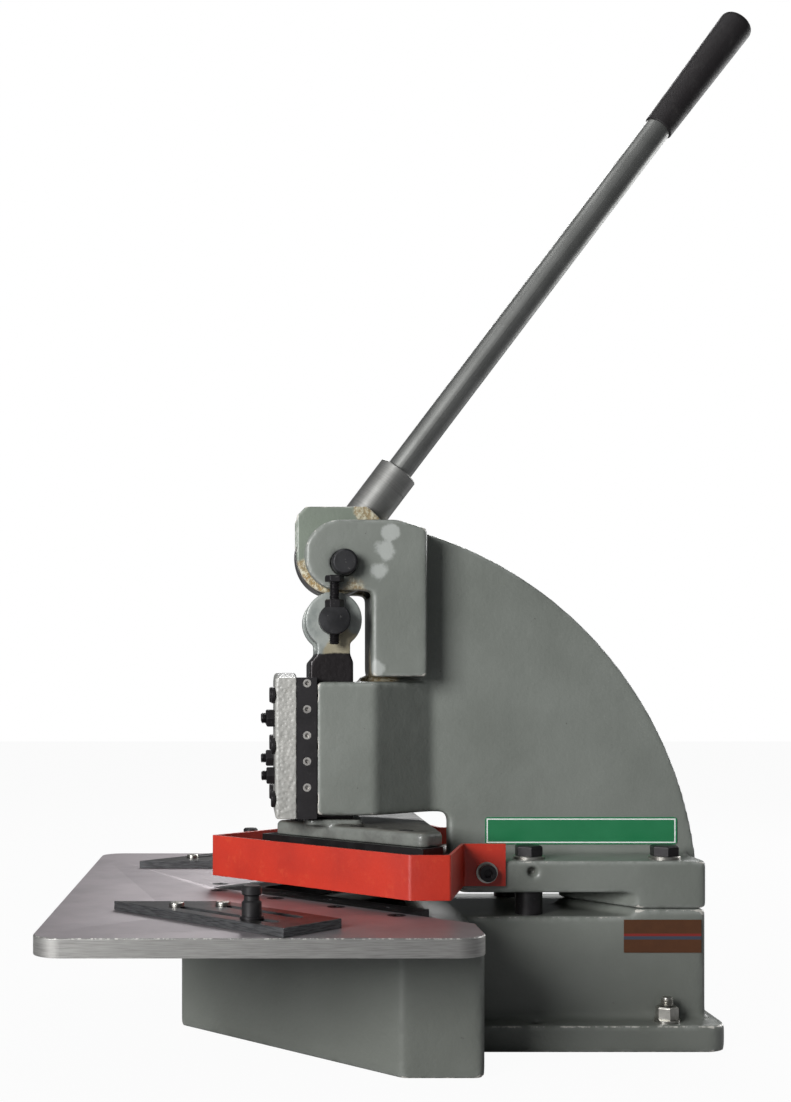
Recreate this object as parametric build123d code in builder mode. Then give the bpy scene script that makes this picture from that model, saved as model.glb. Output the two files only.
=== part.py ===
"""Bench corner notcher: a hand lever turns a cam, the cam pushes a roller in the ram, and the
ram drives two blades, set at 90 degrees, past two fixed blades to cut a square notch in sheet.

+Z is up, -Y is the operator's side, and the lever swings in the YZ plane.  The origin is on the
floor, midway between the two front bench bolt holes.
"""
from build123d import *
from math import cos, hypot, radians, sin, sqrt
import os

os.makedirs("parts", exist_ok=True)

# ------------------------------------------------------------------ driving dimensions (mm)
stroke_y = -185.0  # line of the ram's stroke, measured from the bench bolt holes

# Clearances
fit = 0.1  # radial, screws and pins in holes of the same body
running = 0.06  # radial, turning pins and bushes
slide_gap = 0.3  # between the ram and its guides, on every side
shear_gap = 0.2  # between upper and lower blades
float_gap = 0.1  # under a plate that slides on another
past = 1.0  # how far a cut runs past the surface that it opens, and a drill past its screw
edge_break = 1.0  # chamfer of small machined edges

# Cut: the blades meet on a V whose point faces the operator
cut_point = 69.0  # V point, in front of the stroke line
blade_length = 203.0
lower_blade_length = 210.0
lower_blade_width = 34.0
upper_blade_width = 30.0
upper_blade_height = 44.5
upper_blade_top = 191.5
blade_rake = 5.0  # rise of the upper cutting edge from the point to the ends

# Base casting
seat_z = 122.0  # seat of the table and of the lower blades
body_half = 202.0
body_point = 153.0
body_back = 122.0
body_edge = 8.0
base_wall = 12.0
seat_wall = 16.0
rear_half = 80.0
rear_y = 350.0
rear_corner = 5.0
slot_floor_z = 121.0
joint_z = 128.0  # where the frame casting stands on the base casting
slot_end = 285.0
slot_apex = 226.0  # the slot's rear wall comes forward to here at the middle
flange_half = 112.0
flange_rear = 362.0
flange_thick = 25.0
flange_corner = 20.0
chute_relief = 3.0
chute_back = 84.0

# Bench fixings, in the flange
bench_hole_x = 93.0
bench_hole_radius = 6.75
bench_stud_y = 309.0
bench_stud_radius = 6.0
bench_stud_top = 48.0
bench_stud_round = 3.6
bench_nut_flats = 19.0
bench_nut_height = 12.0
bench_nut_chamfer = 1.2
bench_washer_radius = 12.0
bench_washer_thick = 2.5

# Table
table_half = 300.0
table_front = -257.0
table_back = 109.0
table_thick = 16.0
table_corner = 25.0
table_screw_radius = 4.0
table_screw_head = 8.3
table_screw_length = 30.0
countersunk_socket = 5.0
countersunk_socket_depth = 3.0
table_screw_x = (24.0, 78.0, 132.0, 182.0)

# Frame casting
slot_roof_z = 143.0
ledge_z = 173.4
frame_front = 116.0
frame_rear = 351.0
frame_corner = 6.0
web_half = 12.0
arc_centre_y = -20.0
arc_centre_z = 124.0
arc_radius = 384.0
web_root = 7.0
throat_fillet = 8.0
housing_half = 60.0
housing_front = -17.0
housing_back = 39.0
housing_taper_y = 100.0
housing_corner = 6.0
housing_bottom = 214.0
housing_top = 343.0
head_half = 48.0
head_front = 37.0
head_back = 91.0
head_bottom = 348.0
head_slope = 30.0
casting_overlap = 10.0  # how far the bodies of one casting reach into each other
ear_y = 6.0
ear_z = 466.0
ear_radius = 34.5
ear_slot_half = 29.2
ear_slot_back = 58.0
ear_slot_sink = 2.0  # how far the slot goes under the ears, to clear the cam
side_hole_y = 186.0
side_hole_z = 163.0
side_hole_radius = 5.1
side_hole_depth = 10.0

# Bolts between the two castings
frame_bolt_x = 60.0
frame_bolt_y = (186.0, 316.0)
frame_bolt_radius = 8.0
frame_bolt_flats = 24.0
frame_bolt_head = 10.0
frame_bolt_chamfer = 1.4
frame_bolt_length = 70.0
frame_washer_radius = 15.0
frame_washer_thick = 3.0
frame_washer_chamfer = 0.6
spacer_radius = 13.0

# Ram and its guides
ram_half = 45.7
ram_front = -23.0
ram_back = 19.0
ram_bottom = 210.0
ram_shoulder = 362.0
shoulder_rise = 8.0
stroke = 18.0
lever_travel = 100.0  # degrees
gib_top = 347.0
gib_bottom = 211.0
strip_gap = 1.3  # between the ram and the side strips
plate_gap = 0.3  # between the side strips and the gib plate
strip_front = -36.0
cover_front = -57.0
cover_crown = 5.0
cover_edge = 3.0
gib_bolt_x = 53.0
gib_bolt_z = (330.0, 281.0, 230.0)
gib_bolt_radius = 5.0
gib_bolt_head_radius = 8.0
gib_bolt_head = 4.0
gib_bolt_depth = 25.0
gib_bolt_socket = 6.0
gib_bolt_socket_depth = 3.0
strip_screw_first = 241.5
strip_screw_pitch = 25.0
strip_screw_count = 5
strip_screw_radius = 4.0
strip_screw_length = 12.5
strip_screw_socket = 4.0
strip_screw_socket_depth = 4.0
strip_screw_y = -26.5
adjuster_places = ((25.0, 307.0), (-25.0, 307.0), (25.0, 251.0), (-25.0, 266.0))
adjuster_radius = 5.0
adjuster_front = -70.0
lock_nut_flats = 16.0
lock_nut_height = 8.0

# Shoe under the ram
shoe_thick = 13.5
shoe_inset = 12.0  # shoe point behind the cut point
shoe_back = 96.0
shoe_edge = 5.0
shoe_rounding = 8.0
shoe_end_inset = 5.0
boss_half = 52.0
boss_front = -26.5
boss_back = 28.0
shoe_screw_x = 22.0
shoe_screw_y = (-8.0, 10.0)
shoe_screw_radius = 5.0
shoe_screw_head_radius = 8.0
shoe_screw_head = 10.0
shoe_screw_length = 36.0
shoe_screw_socket = 8.0
shoe_screw_socket_depth = 5.0
blade_screw_radius = 4.0
upper_screw_head_radius = 6.5
upper_screw_head = 8.0
upper_screw_offset = 20.0
upper_screw_along = (30.0, 108.0, 168.0)
upper_screw_depth = 20.0
upper_screw_socket = 6.0
upper_screw_socket_depth = 4.0
lower_screw_head = 8.3
lower_screw_along = (45.0, 105.0, 175.0)
lower_screw_length = 26.0

# Roller, carried in the ram's fork
roller_z = 403.0
roller_radius = 25.0
roller_half = 28.9
roller_pin_radius = 11.0
roller_bush_radius = 14.0
roller_chamfer = 0.8
fork_slot_half = 29.7
fork_floor_gap = 4.0
eye_radius = 27.5
neck_half = 16.0
pin_head_radius = 15.0
pin_head_end = 66.0
pin_tail_end = 52.0

# Stop bolt, cross-drilled through the roller pin's head
stop_x = 57.0
stop_bolt_radius = 5.0
stop_bolt_length = 60.0
stop_head = 6.4
stop_flats = 16.0
stop_gap = 0.3
stop_nut_height = 8.0
pin_flat = 11.0

# Pivot of the lever
pivot_y = 9.7
pivot_z = 458.0
pivot_radius = 12.5
pivot_half = 64.0
pivot_bush_radius = 15.5
pivot_chamfer = 2.0
cam_gap = 0.25  # between cam and roller
cheek_relief = 0.75  # the cheek plates stand behind the cam face
hub_left = -45.0
hub_right = 38.0
hub_top = 57.0
hub_left_chamfer = 9.0
hub_right_chamfer = 13.0
hub_heel = 3.0
core_inset = 5.5  # the cam block stands behind the cheek plates' front edge
hub_belly = (25.0, 18.0)  # behind and below the pivot, on the hub's round underside
core_half = 20.6
cheek_outer = 28.7

# Lever
lever_angle = 52.9
lever_offset = 11.5
collar_radius = 20.5
collar_start = 31.0
collar_end = 111.0
collar_groove = 1.0
collar_groove_from_end = 20.0
tube_radius = 13.25
tube_start = 50.0
tube_end = 664.0
tube_bore = 10.0
grip_grasp = 123.0  # how far the grip reaches down the tube
grip_length = 133.5
grip_low_radius = 14.9
grip_high_radius = 17.4
grip_end_round = 6.0

# Return spring, in a pocket behind the ram
spring_bottom = 238.0
spring_top = 300.0
spring_y = 29.0
spring_radius = 7.0
spring_wire = 1.2
spring_turns = 9
pocket_half = 9.0
pocket_back = 38.0
pocket_top = 330.0
lug_half = 8.0
lug_thick = 12.0
lug_root = 4.0
lug_inset = 1.0

# Blade guard
guard_thick = 3.0
guard_bottom = 150.0
guard_top = 190.0
guard_point = 115.0
guard_half = 175.0
guard_side_end = 93.0
guard_tab_start = 118.0
guard_tab_end = 160.0
guard_screw_y = 142.0
guard_screw_z = 163.0
guard_screw_radius = 5.0
guard_screw_head_radius = 8.0
guard_screw_head = 8.0
guard_screw_depth = 18.0
guard_washer_radius = 10.0
guard_washer_thick = 2.0
guard_screw_socket = 8.0
guard_screw_socket_depth = 5.0

# Fences on the table: u runs along the cut at 45 degrees, v runs inwards from the outer edge
fence_thick = 8.0
fence_width = 70.0
fence_outer = 251.0  # distance of the outer edge from the stroke line
fence_start = -36.0
fence_end = 173.2
fence_slot_width = 10.0
fence_slots = ((85.0, 18.0, 129.0), (96.0, 50.0, 101.0))  # centre u, v, length
fence_screw_places = ((27.5, 18.0), (52.5, 50.0))
fence_screw_radius = 3.0
fence_screw_head_radius = 6.5
fence_screw_head = 3.5
fence_screw_depth = 12.0
fence_screw_round = 1.5
fence_screw_socket = 4.0
fence_screw_socket_depth = 2.0
knob_u = 119.9
knob_v = 18.0
knob_radius = 8.3
knob_neck_radius = 6.5
knob_height = 25.0
knob_skirt = 11.2  # heights of the knob's rings above its seat
knob_waist = (13.0, 16.5)
knob_head = (18.0, 23.5)
knob_crown = 1.5
knob_shaft_radius = 4.0
knob_shaft_depth = 13.0
knob_washer_radius = 10.0
knob_washer_thick = 2.0

# Plates
label_thick = 1.0
label_start = 152.0
label_end = 342.0
label_corner = 3.0
label_bottom = 182.0
label_top = 209.0
data_start = 272.0
data_end = 345.0
data_bottom = 87.0
data_top = 118.0

# ------------------------------------------------------------------ worked out from the above
table_z = seat_z + table_thick
root2 = sqrt(2.0)
lower_blade_point = cut_point + lower_blade_width * root2
upper_blade_bottom = upper_blade_top - upper_blade_height
upper_face = shear_gap * root2
shoe_bottom = upper_blade_top
shoe_top = shoe_bottom + shoe_thick
cam_rise = stroke / radians(lever_travel)  # travel of the ram for each radian of the lever
roller_drop = pivot_z - roller_z
pin_flat_z = roller_z + pin_flat
stop_head_top = pivot_z - pivot_radius - stop_gap
fence_z = table_z + float_gap
fence_top = fence_z + fence_thick
strip_inner = ram_half + strip_gap
gib_plate_half = strip_inner - plate_gap
grip_start = tube_end - grip_grasp
grip_end = grip_start + grip_length


def level(z):
    """Horizontal plane at height z, centred on the stroke line."""
    return Plane(origin=(0, stroke_y, z), x_dir=(1, 0, 0), z_dir=(0, 0, 1))


def upright(x):
    """Plane at x facing +X: its x is measured rearwards from the stroke line, its y is height."""
    return Plane(origin=(x, stroke_y, 0), x_dir=(0, 1, 0), z_dir=(1, 0, 0))


def facing(y):
    """Plane facing the operator, y behind the stroke line: its x is +X, its y is height."""
    return Plane(origin=(0, stroke_y + y, 0), x_dir=(1, 0, 0), z_dir=(0, -1, 0))


def arc_height(y):
    """Height of the frame casting's outer arc at y."""
    return arc_centre_z + sqrt(arc_radius**2 - (y - arc_centre_y) ** 2)


def arc_reach(z):
    """Distance behind the stroke line of the frame casting's outer arc at height z."""
    return arc_centre_y + sqrt(arc_radius**2 - (z - arc_centre_z) ** 2)


def cam_point(turn, gap):
    """Point of the cam that meets the roller after the lever has turned, seen from the pivot."""
    drop = roller_drop + cam_rise * turn
    roller_at = (-pivot_y * cos(turn) - drop * sin(turn), pivot_y * sin(turn) - drop * cos(turn))
    along = (
        pivot_y * sin(turn) - drop * cos(turn) - cam_rise * sin(turn),
        pivot_y * cos(turn) + drop * sin(turn) - cam_rise * cos(turn),
    )
    reach = (roller_radius + gap) / hypot(*along)
    return (pivot_y + roller_at[0] + along[1] * reach, pivot_z + roller_at[1] - along[0] * reach)


def along_blade(side, distance, inwards):
    """Point at a distance from the cut point along one blade, inwards from the cut line."""
    return (side * (distance - inwards) / root2, -cut_point + (distance + inwards) / root2)


def on_fence(side, u, v):
    """Point on a fence: u along it, v inwards from its outer edge."""
    return (side * (u + fence_outer - v) / root2, (u - fence_outer + v) / root2)


frame_bolt_places = [(side * frame_bolt_x, y) for side in (1, -1) for y in frame_bolt_y]
spacer_places = [(side * frame_bolt_x, frame_bolt_y[0]) for side in (1, -1)]
bench_hole_places = [(side * bench_hole_x, -stroke_y) for side in (1, -1)]
bench_stud_places = [(side * bench_hole_x, bench_stud_y) for side in (1, -1)]
table_screw_line = (body_point + lower_blade_point) / 2
table_screw_places = [(s * x, x - table_screw_line) for s in (1, -1) for x in table_screw_x]
lower_screw_places = [
    along_blade(side, d, -lower_blade_width / 2) for side in (1, -1) for d in lower_screw_along
]
upper_screw_places = [
    along_blade(side, d, upper_screw_offset) for side in (1, -1) for d in upper_screw_along
]
fence_bolt_places = [on_fence(side, u, v) for side in (1, -1) for u, v in fence_screw_places]
knob_places = [on_fence(side, knob_u, knob_v) for side in (1, -1)]
shoe_screw_places = [(side * shoe_screw_x, y) for side in (1, -1) for y in shoe_screw_y]
gib_bolt_places = [(side * gib_bolt_x, z) for side in (1, -1) for z in gib_bolt_z]
strip_screw_places = [
    (strip_screw_y, strip_screw_first + i * strip_screw_pitch) for i in range(strip_screw_count)
]

# ------------------------------------------------------------------ base casting
with BuildPart() as base_casting:
    # Five-sided front body under the table
    with BuildSketch(level(0)):
        with BuildLine():
            Polyline(
                (0, -body_point),
                (body_half, body_half - body_point),
                (body_half, body_back),
                (-body_half, body_back),
                (-body_half, body_half - body_point),
                close=True,
            )
        make_face()
    extrude(amount=seat_z)
    fillet(base_casting.edges().filter_by(Axis.Z), radius=body_edge)
    # Foot flange
    with BuildSketch(level(0)):
        with Locations((0, (body_back + flange_rear) / 2)):
            Rectangle(2 * flange_half, flange_rear - body_back)
    extrude(amount=flange_thick)
    fillet(base_casting.edges().filter_by(Axis.Z).group_by(Axis.Y)[-1], radius=flange_corner)
    # Rear body, raised behind the sheet slot
    with BuildSketch(level(0)):
        with Locations((0, (body_back + rear_y) / 2)):
            Rectangle(2 * rear_half, rear_y - body_back)
    extrude(amount=slot_floor_z)
    with BuildSketch(level(slot_floor_z)):
        with BuildLine():
            Polyline(
                (0, slot_apex),
                (rear_half, slot_end),
                (rear_half, rear_y),
                (-rear_half, rear_y),
                (-rear_half, slot_end),
                close=True,
            )
        make_face()
    extrude(amount=joint_z - slot_floor_z)
    rear_corners = base_casting.edges().filter_by(Axis.Z).filter_by_position(
        Axis.Y, stroke_y + rear_y - fit, stroke_y + rear_y + fit
    )
    fillet(rear_corners, radius=rear_corner)
    # Hollow, open below
    with BuildSketch(level(0)):
        with BuildLine():
            Polyline(
                (0, -body_point + base_wall * root2),
                (body_half - base_wall, body_half - body_point + base_wall * (root2 - 1)),
                (body_half - base_wall, body_back - base_wall),
                (base_wall - body_half, body_back - base_wall),
                (base_wall - body_half, body_half - body_point + base_wall * (root2 - 1)),
                close=True,
            )
        make_face()
    extrude(amount=seat_z - seat_wall, mode=Mode.SUBTRACT)
    with BuildSketch(level(0)):
        with Locations((0, (body_back - 2 * base_wall + rear_y - base_wall) / 2)):
            Rectangle(2 * (rear_half - base_wall), rear_y - body_back + base_wall)
    extrude(amount=slot_floor_z - seat_wall, mode=Mode.SUBTRACT)
    # Scrap chute inside the V of the lower blades
    chute_point = cut_point + chute_relief
    with BuildSketch(level(seat_z)):
        with BuildLine():
            Polyline(
                (0, -chute_point),
                (chute_back + chute_point, chute_back),
                (-chute_back - chute_point, chute_back),
                close=True,
            )
        make_face()
    extrude(amount=-seat_wall, mode=Mode.SUBTRACT)
    # Tapped holes
    with BuildSketch(level(seat_z)):
        with Locations(*table_screw_places):
            Circle(table_screw_radius + fit)
        with Locations(*lower_screw_places):
            Circle(blade_screw_radius + fit)
    extrude(amount=-seat_wall, mode=Mode.SUBTRACT)
    with BuildSketch(level(joint_z)):
        with Locations(*frame_bolt_places):
            Circle(frame_bolt_radius + fit)
    extrude(amount=slot_floor_z - seat_wall - joint_z, mode=Mode.SUBTRACT)
    with BuildSketch(level(flange_thick)):
        with Locations(*bench_hole_places, *bench_stud_places):
            Circle(bench_hole_radius)
    extrude(amount=-flange_thick, mode=Mode.SUBTRACT)
base_casting.part.label = "base_casting"
export_step(base_casting.part, "parts/base_casting.step")

# ------------------------------------------------------------------ bench fixings
with BuildPart() as foot_studs:
    with BuildSketch(level(0)):
        with Locations(*bench_stud_places):
            Circle(bench_stud_radius)
    extrude(amount=bench_stud_top)
    fillet(foot_studs.faces().group_by(Axis.Z)[-1].edges(), radius=bench_stud_round)
foot_studs.part.label = "foot_studs"
export_step(foot_studs.part, "parts/foot_studs.step")

with BuildPart() as foot_washers:
    with BuildSketch(level(flange_thick)):
        with Locations(*bench_stud_places):
            Circle(bench_washer_radius)
            Circle(bench_stud_radius + fit, mode=Mode.SUBTRACT)
    extrude(amount=bench_washer_thick)
foot_washers.part.label = "foot_washers"
export_step(foot_washers.part, "parts/foot_washers.step")

with BuildPart() as foot_nuts:
    with BuildSketch(level(flange_thick + bench_washer_thick)):
        with Locations(*bench_stud_places):
            RegularPolygon(bench_nut_flats / 2, 6, major_radius=False)
    extrude(amount=bench_nut_height)
    chamfer(foot_nuts.faces().group_by(Axis.Z)[-1].edges(), length=bench_nut_chamfer)
    with BuildSketch(level(flange_thick + bench_washer_thick)):
        with Locations(*bench_stud_places):
            Circle(bench_stud_radius + fit)
    extrude(amount=bench_nut_height, mode=Mode.SUBTRACT)
foot_nuts.part.label = "foot_nuts"
export_step(foot_nuts.part, "parts/foot_nuts.step")

# ------------------------------------------------------------------ table
with BuildPart() as table_plate:
    with BuildSketch(level(seat_z)):
        with Locations((0, (table_front + table_back) / 2)):
            RectangleRounded(2 * table_half, table_back - table_front, table_corner)
        opening_point = lower_blade_point + fit * root2
        with BuildLine():
            Polyline(
                (0, -opening_point),
                (opening_point + table_back + past, table_back + past),
                (-opening_point - table_back - past, table_back + past),
                close=True,
            )
        make_face(mode=Mode.SUBTRACT)
    extrude(amount=table_thick)
    chamfer(table_plate.faces().sort_by(Axis.Z)[-1].edges(), length=edge_break)
    with Locations(*[level(table_z) * Location((x, y, 0)) for x, y in table_screw_places]):
        CounterSinkHole(
            radius=table_screw_radius + fit,
            counter_sink_radius=table_screw_head + fit,
            depth=table_thick,
            counter_sink_angle=90,
        )
    with BuildSketch(level(table_z)):
        with Locations(*fence_bolt_places):
            Circle(fence_screw_radius + fit)
    extrude(amount=-fence_screw_depth - past, mode=Mode.SUBTRACT)
    with BuildSketch(level(table_z)):
        with Locations(*knob_places):
            Circle(knob_shaft_radius + running)
    extrude(amount=-knob_shaft_depth - past, mode=Mode.SUBTRACT)
table_plate.part.label = "table_plate"
export_step(table_plate.part, "parts/table_plate.step")

with BuildPart() as table_screws:
    with Locations(*[level(table_z) * Location((x, y, 0)) for x, y in table_screw_places]):
        Cylinder(table_screw_radius, table_screw_length, align=(Align.CENTER, Align.CENTER, Align.MAX))
        Cone(
            table_screw_radius,
            table_screw_head,
            table_screw_head - table_screw_radius,
            align=(Align.CENTER, Align.CENTER, Align.MAX),
        )
    with BuildSketch(level(table_z)):
        with Locations(*table_screw_places):
            RegularPolygon(countersunk_socket / 2, 6, major_radius=False)
    extrude(amount=-countersunk_socket_depth, mode=Mode.SUBTRACT)
table_screws.part.label = "table_screws"
export_step(table_screws.part, "parts/table_screws.step")

# ------------------------------------------------------------------ lower blades
for name, side in (("right", 1), ("left", -1)):
    with BuildPart() as lower_blade:
        with BuildSketch(level(seat_z)):
            with BuildLine():
                Polyline(
                    (0, -cut_point),
                    along_blade(side, lower_blade_length, 0),
                    along_blade(side, lower_blade_length, -lower_blade_width),
                    (0, -lower_blade_point),
                    close=True,
                )
            make_face()
        extrude(amount=table_thick)
        blade_screws = [along_blade(side, d, -lower_blade_width / 2) for d in lower_screw_along]
        with Locations(*[level(table_z) * Location((x, y, 0)) for x, y in blade_screws]):
            CounterSinkHole(
                radius=blade_screw_radius + fit,
                counter_sink_radius=lower_screw_head + fit,
                depth=table_thick,
                counter_sink_angle=90,
            )
    lower_blade.part.label = f"lower_blade_{name}"
    export_step(lower_blade.part, f"parts/lower_blade_{name}.step")

with BuildPart() as lower_blade_screws:
    with Locations(*[level(table_z) * Location((x, y, 0)) for x, y in lower_screw_places]):
        Cylinder(blade_screw_radius, lower_screw_length, align=(Align.CENTER, Align.CENTER, Align.MAX))
        Cone(
            blade_screw_radius,
            lower_screw_head,
            lower_screw_head - blade_screw_radius,
            align=(Align.CENTER, Align.CENTER, Align.MAX),
        )
    with BuildSketch(level(table_z)):
        with Locations(*lower_screw_places):
            RegularPolygon(countersunk_socket / 2, 6, major_radius=False)
    extrude(amount=-countersunk_socket_depth, mode=Mode.SUBTRACT)
lower_blade_screws.part.label = "lower_blade_screws"
export_step(lower_blade_screws.part, "parts/lower_blade_screws.step")

# ------------------------------------------------------------------ frame casting
with BuildPart() as frame_casting:
    # Foot block, hollowed below its front for the sheet
    with BuildSketch(level(joint_z)):
        with Locations((0, (frame_front + frame_rear) / 2)):
            RectangleRounded(2 * rear_half, frame_rear - frame_front, frame_corner)
    extrude(amount=ledge_z - joint_z)
    with BuildSketch(level(joint_z)):
        with BuildLine():
            Polyline(
                (0, slot_apex),
                (rear_half, slot_end),
                (rear_half + past, slot_end),
                (rear_half + past, frame_front - past),
                (-rear_half - past, frame_front - past),
                (-rear_half - past, slot_end),
                (-rear_half, slot_end),
                close=True,
            )
        make_face()
    extrude(amount=slot_roof_z - joint_z, mode=Mode.SUBTRACT)
    # Web with the large outer arc, which runs down behind the foot block
    web_front = head_back - casting_overlap
    web_rear = arc_reach(joint_z)
    with BuildSketch(upright(-web_half)):
        with BuildLine():
            Polyline(
                (web_front, arc_height(web_front)),
                (web_front, head_bottom),
                (housing_back - casting_overlap, head_bottom),
                (housing_back - casting_overlap, housing_bottom),
                (frame_front, housing_bottom),
                (frame_front, ledge_z - casting_overlap),
                (frame_rear - casting_overlap, ledge_z - casting_overlap),
                (frame_rear - casting_overlap, joint_z),
                (web_rear, joint_z),
            )
            RadiusArc((web_rear, joint_z), (web_front, arc_height(web_front)), -arc_radius)
        make_face()
    extrude(amount=2 * web_half)
    # Ram housing, tapering back into the web
    with BuildSketch(level(housing_bottom)) as housing_plan:
        with BuildLine():
            Polyline(
                (housing_half, housing_front),
                (housing_half, housing_back),
                (web_half, housing_taper_y),
                (-web_half, housing_taper_y),
                (-housing_half, housing_back),
                (-housing_half, housing_front),
                close=True,
            )
        make_face()
        fillet(housing_plan.vertices().group_by(Axis.Y)[1], radius=housing_corner)
    extrude(amount=housing_top - housing_bottom)
    # Head, with the outline of the arc
    with BuildSketch(upright(-head_half)):
        with BuildLine():
            Polyline(
                (ear_y, ear_z + ear_radius),
                (head_back - head_slope, ear_z + ear_radius),
                (head_back, arc_height(head_back)),
                (head_back, head_bottom),
                (head_front, head_bottom),
                (head_front, ear_z - ear_radius),
                (ear_y, ear_z - ear_radius),
            )
            RadiusArc((ear_y, ear_z - ear_radius), (ear_y, ear_z + ear_radius), ear_radius)
        make_face()
    extrude(amount=2 * head_half)
    # Slot for the lever's hub
    with BuildSketch(upright(-ear_slot_half)):
        with BuildLine():
            Polyline(
                (ear_y - ear_radius - past, ear_z + ear_radius + past),
                (ear_slot_back, ear_z + ear_radius + past),
                (ear_slot_back, ear_z - ear_radius - ear_slot_sink),
                (ear_y - ear_radius - past, ear_z - ear_radius - ear_slot_sink),
                close=True,
            )
        make_face()
    extrude(amount=2 * ear_slot_half, mode=Mode.SUBTRACT)
    # Guide for the ram, open to the front
    with BuildSketch(level(housing_bottom)):
        with Locations((0, (housing_front - past + ram_back + slide_gap) / 2)):
            Rectangle(2 * (ram_half + slide_gap), ram_back + slide_gap - housing_front + past)
    extrude(amount=housing_top - housing_bottom, mode=Mode.SUBTRACT)
    # Pocket for the return spring and the ram's lug
    with BuildSketch(level(spring_bottom)):
        with Locations((0, (ram_back + pocket_back) / 2)):
            Rectangle(2 * pocket_half, pocket_back - ram_back)
    extrude(amount=pocket_top - spring_bottom, mode=Mode.SUBTRACT)
    # Fillets between web and foot block, and at the throat
    web_roots = frame_casting.edges().filter_by(Axis.Y).filter_by_position(
        Axis.Z, ledge_z - fit, ledge_z + fit
    ).filter_by_position(Axis.X, -web_half - fit, web_half + fit)
    fillet(web_roots, radius=web_root)
    throat = frame_casting.edges().filter_by(Axis.X).filter_by_position(
        Axis.Z, housing_bottom - fit, housing_bottom + fit
    ).filter_by_position(Axis.Y, stroke_y + frame_front - fit, stroke_y + frame_front + fit)
    fillet(throat, radius=throat_fillet)
    # Bores and holes
    with BuildSketch(upright(-head_half)):
        with Locations((pivot_y, pivot_z)):
            Circle(pivot_radius + fit / 2)
    extrude(amount=2 * head_half, mode=Mode.SUBTRACT)
    with BuildSketch(level(ledge_z)):
        with Locations(*frame_bolt_places):
            Circle(frame_bolt_radius + fit)
    extrude(amount=joint_z - ledge_z, mode=Mode.SUBTRACT)
    with BuildSketch(facing(housing_front)):
        with Locations(*gib_bolt_places):
            Circle(gib_bolt_radius + fit)
    extrude(amount=-gib_bolt_depth - past, mode=Mode.SUBTRACT)
    for side in (1, -1):
        with BuildSketch(upright(side * rear_half)):
            with Locations((guard_screw_y, guard_screw_z)):
                Circle(guard_screw_radius + fit)
        extrude(amount=-side * (guard_screw_depth + past), mode=Mode.SUBTRACT)
    with BuildSketch(upright(rear_half)):
        with Locations((side_hole_y, side_hole_z)):
            Circle(side_hole_radius)
    extrude(amount=-side_hole_depth, mode=Mode.SUBTRACT)
frame_casting.part.label = "frame_casting"
export_step(frame_casting.part, "parts/frame_casting.step")

# ------------------------------------------------------------------ frame bolts
with BuildPart() as frame_washers:
    with BuildSketch(level(ledge_z)):
        with Locations(*frame_bolt_places):
            Circle(frame_washer_radius)
            Circle(frame_bolt_radius + fit, mode=Mode.SUBTRACT)
    extrude(amount=frame_washer_thick)
    washer_rims = frame_washers.faces().group_by(Axis.Z)[-1].edges().group_by(SortBy.RADIUS)[-1]
    chamfer(washer_rims, length=frame_washer_chamfer)
frame_washers.part.label = "frame_washers"
export_step(frame_washers.part, "parts/frame_washers.step")

with BuildPart() as frame_bolts:
    with BuildSketch(level(ledge_z + frame_washer_thick)):
        with Locations(*frame_bolt_places):
            RegularPolygon(frame_bolt_flats / 2, 6, major_radius=False)
    extrude(amount=frame_bolt_head)
    chamfer(frame_bolts.faces().group_by(Axis.Z)[-1].edges(), length=frame_bolt_chamfer)
    with BuildSketch(level(ledge_z + frame_washer_thick)):
        with Locations(*frame_bolt_places):
            Circle(frame_bolt_radius)
    extrude(amount=-frame_bolt_length)
frame_bolts.part.label = "frame_bolts"
export_step(frame_bolts.part, "parts/frame_bolts.step")

with BuildPart() as frame_spacers:
    with BuildSketch(level(slot_floor_z)):
        with Locations(*spacer_places):
            Circle(spacer_radius)
            Circle(frame_bolt_radius + fit, mode=Mode.SUBTRACT)
    extrude(amount=slot_roof_z - slot_floor_z)
frame_spacers.part.label = "frame_spacers"
export_step(frame_spacers.part, "parts/frame_spacers.step")

# ------------------------------------------------------------------ guides of the ram
with BuildPart() as gib_side_strips:
    for side in (1, -1):
        with BuildSketch(level(gib_bottom)):
            with Locations((side * (strip_inner + housing_half) / 2, (strip_front + housing_front) / 2)):
                Rectangle(housing_half - strip_inner, housing_front - strip_front)
        extrude(amount=gib_top - gib_bottom)
    with BuildSketch(facing(housing_front)):
        with Locations(*gib_bolt_places):
            Circle(gib_bolt_radius + fit)
    extrude(amount=housing_front - strip_front, mode=Mode.SUBTRACT)
    with BuildSketch(upright(-housing_half)):
        with Locations(*strip_screw_places):
            Circle(strip_screw_radius + fit)
    extrude(amount=2 * housing_half, mode=Mode.SUBTRACT)
gib_side_strips.part.label = "gib_side_strips"
export_step(gib_side_strips.part, "parts/gib_side_strips.step")

with BuildPart() as gib_strip_screws:
    for side in (1, -1):
        with BuildSketch(upright(side * (strip_inner + strip_screw_length))):
            with Locations(*strip_screw_places):
                Circle(strip_screw_radius)
        extrude(amount=-side * strip_screw_length)
        with BuildSketch(upright(side * (strip_inner + strip_screw_length))):
            with Locations(*strip_screw_places):
                RegularPolygon(strip_screw_socket / 2, 6, major_radius=False)
        extrude(amount=-side * strip_screw_socket_depth, mode=Mode.SUBTRACT)
gib_strip_screws.part.label = "gib_strip_screws"
export_step(gib_strip_screws.part, "parts/gib_strip_screws.step")

with BuildPart() as gib_plate:
    with BuildSketch(level(gib_bottom)):
        with Locations((0, (strip_front + ram_front - slide_gap) / 2)):
            Rectangle(2 * gib_plate_half, ram_front - slide_gap - strip_front)
    extrude(amount=gib_top - gib_bottom)
gib_plate.part.label = "gib_plate"
export_step(gib_plate.part, "parts/gib_plate.step")

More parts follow.
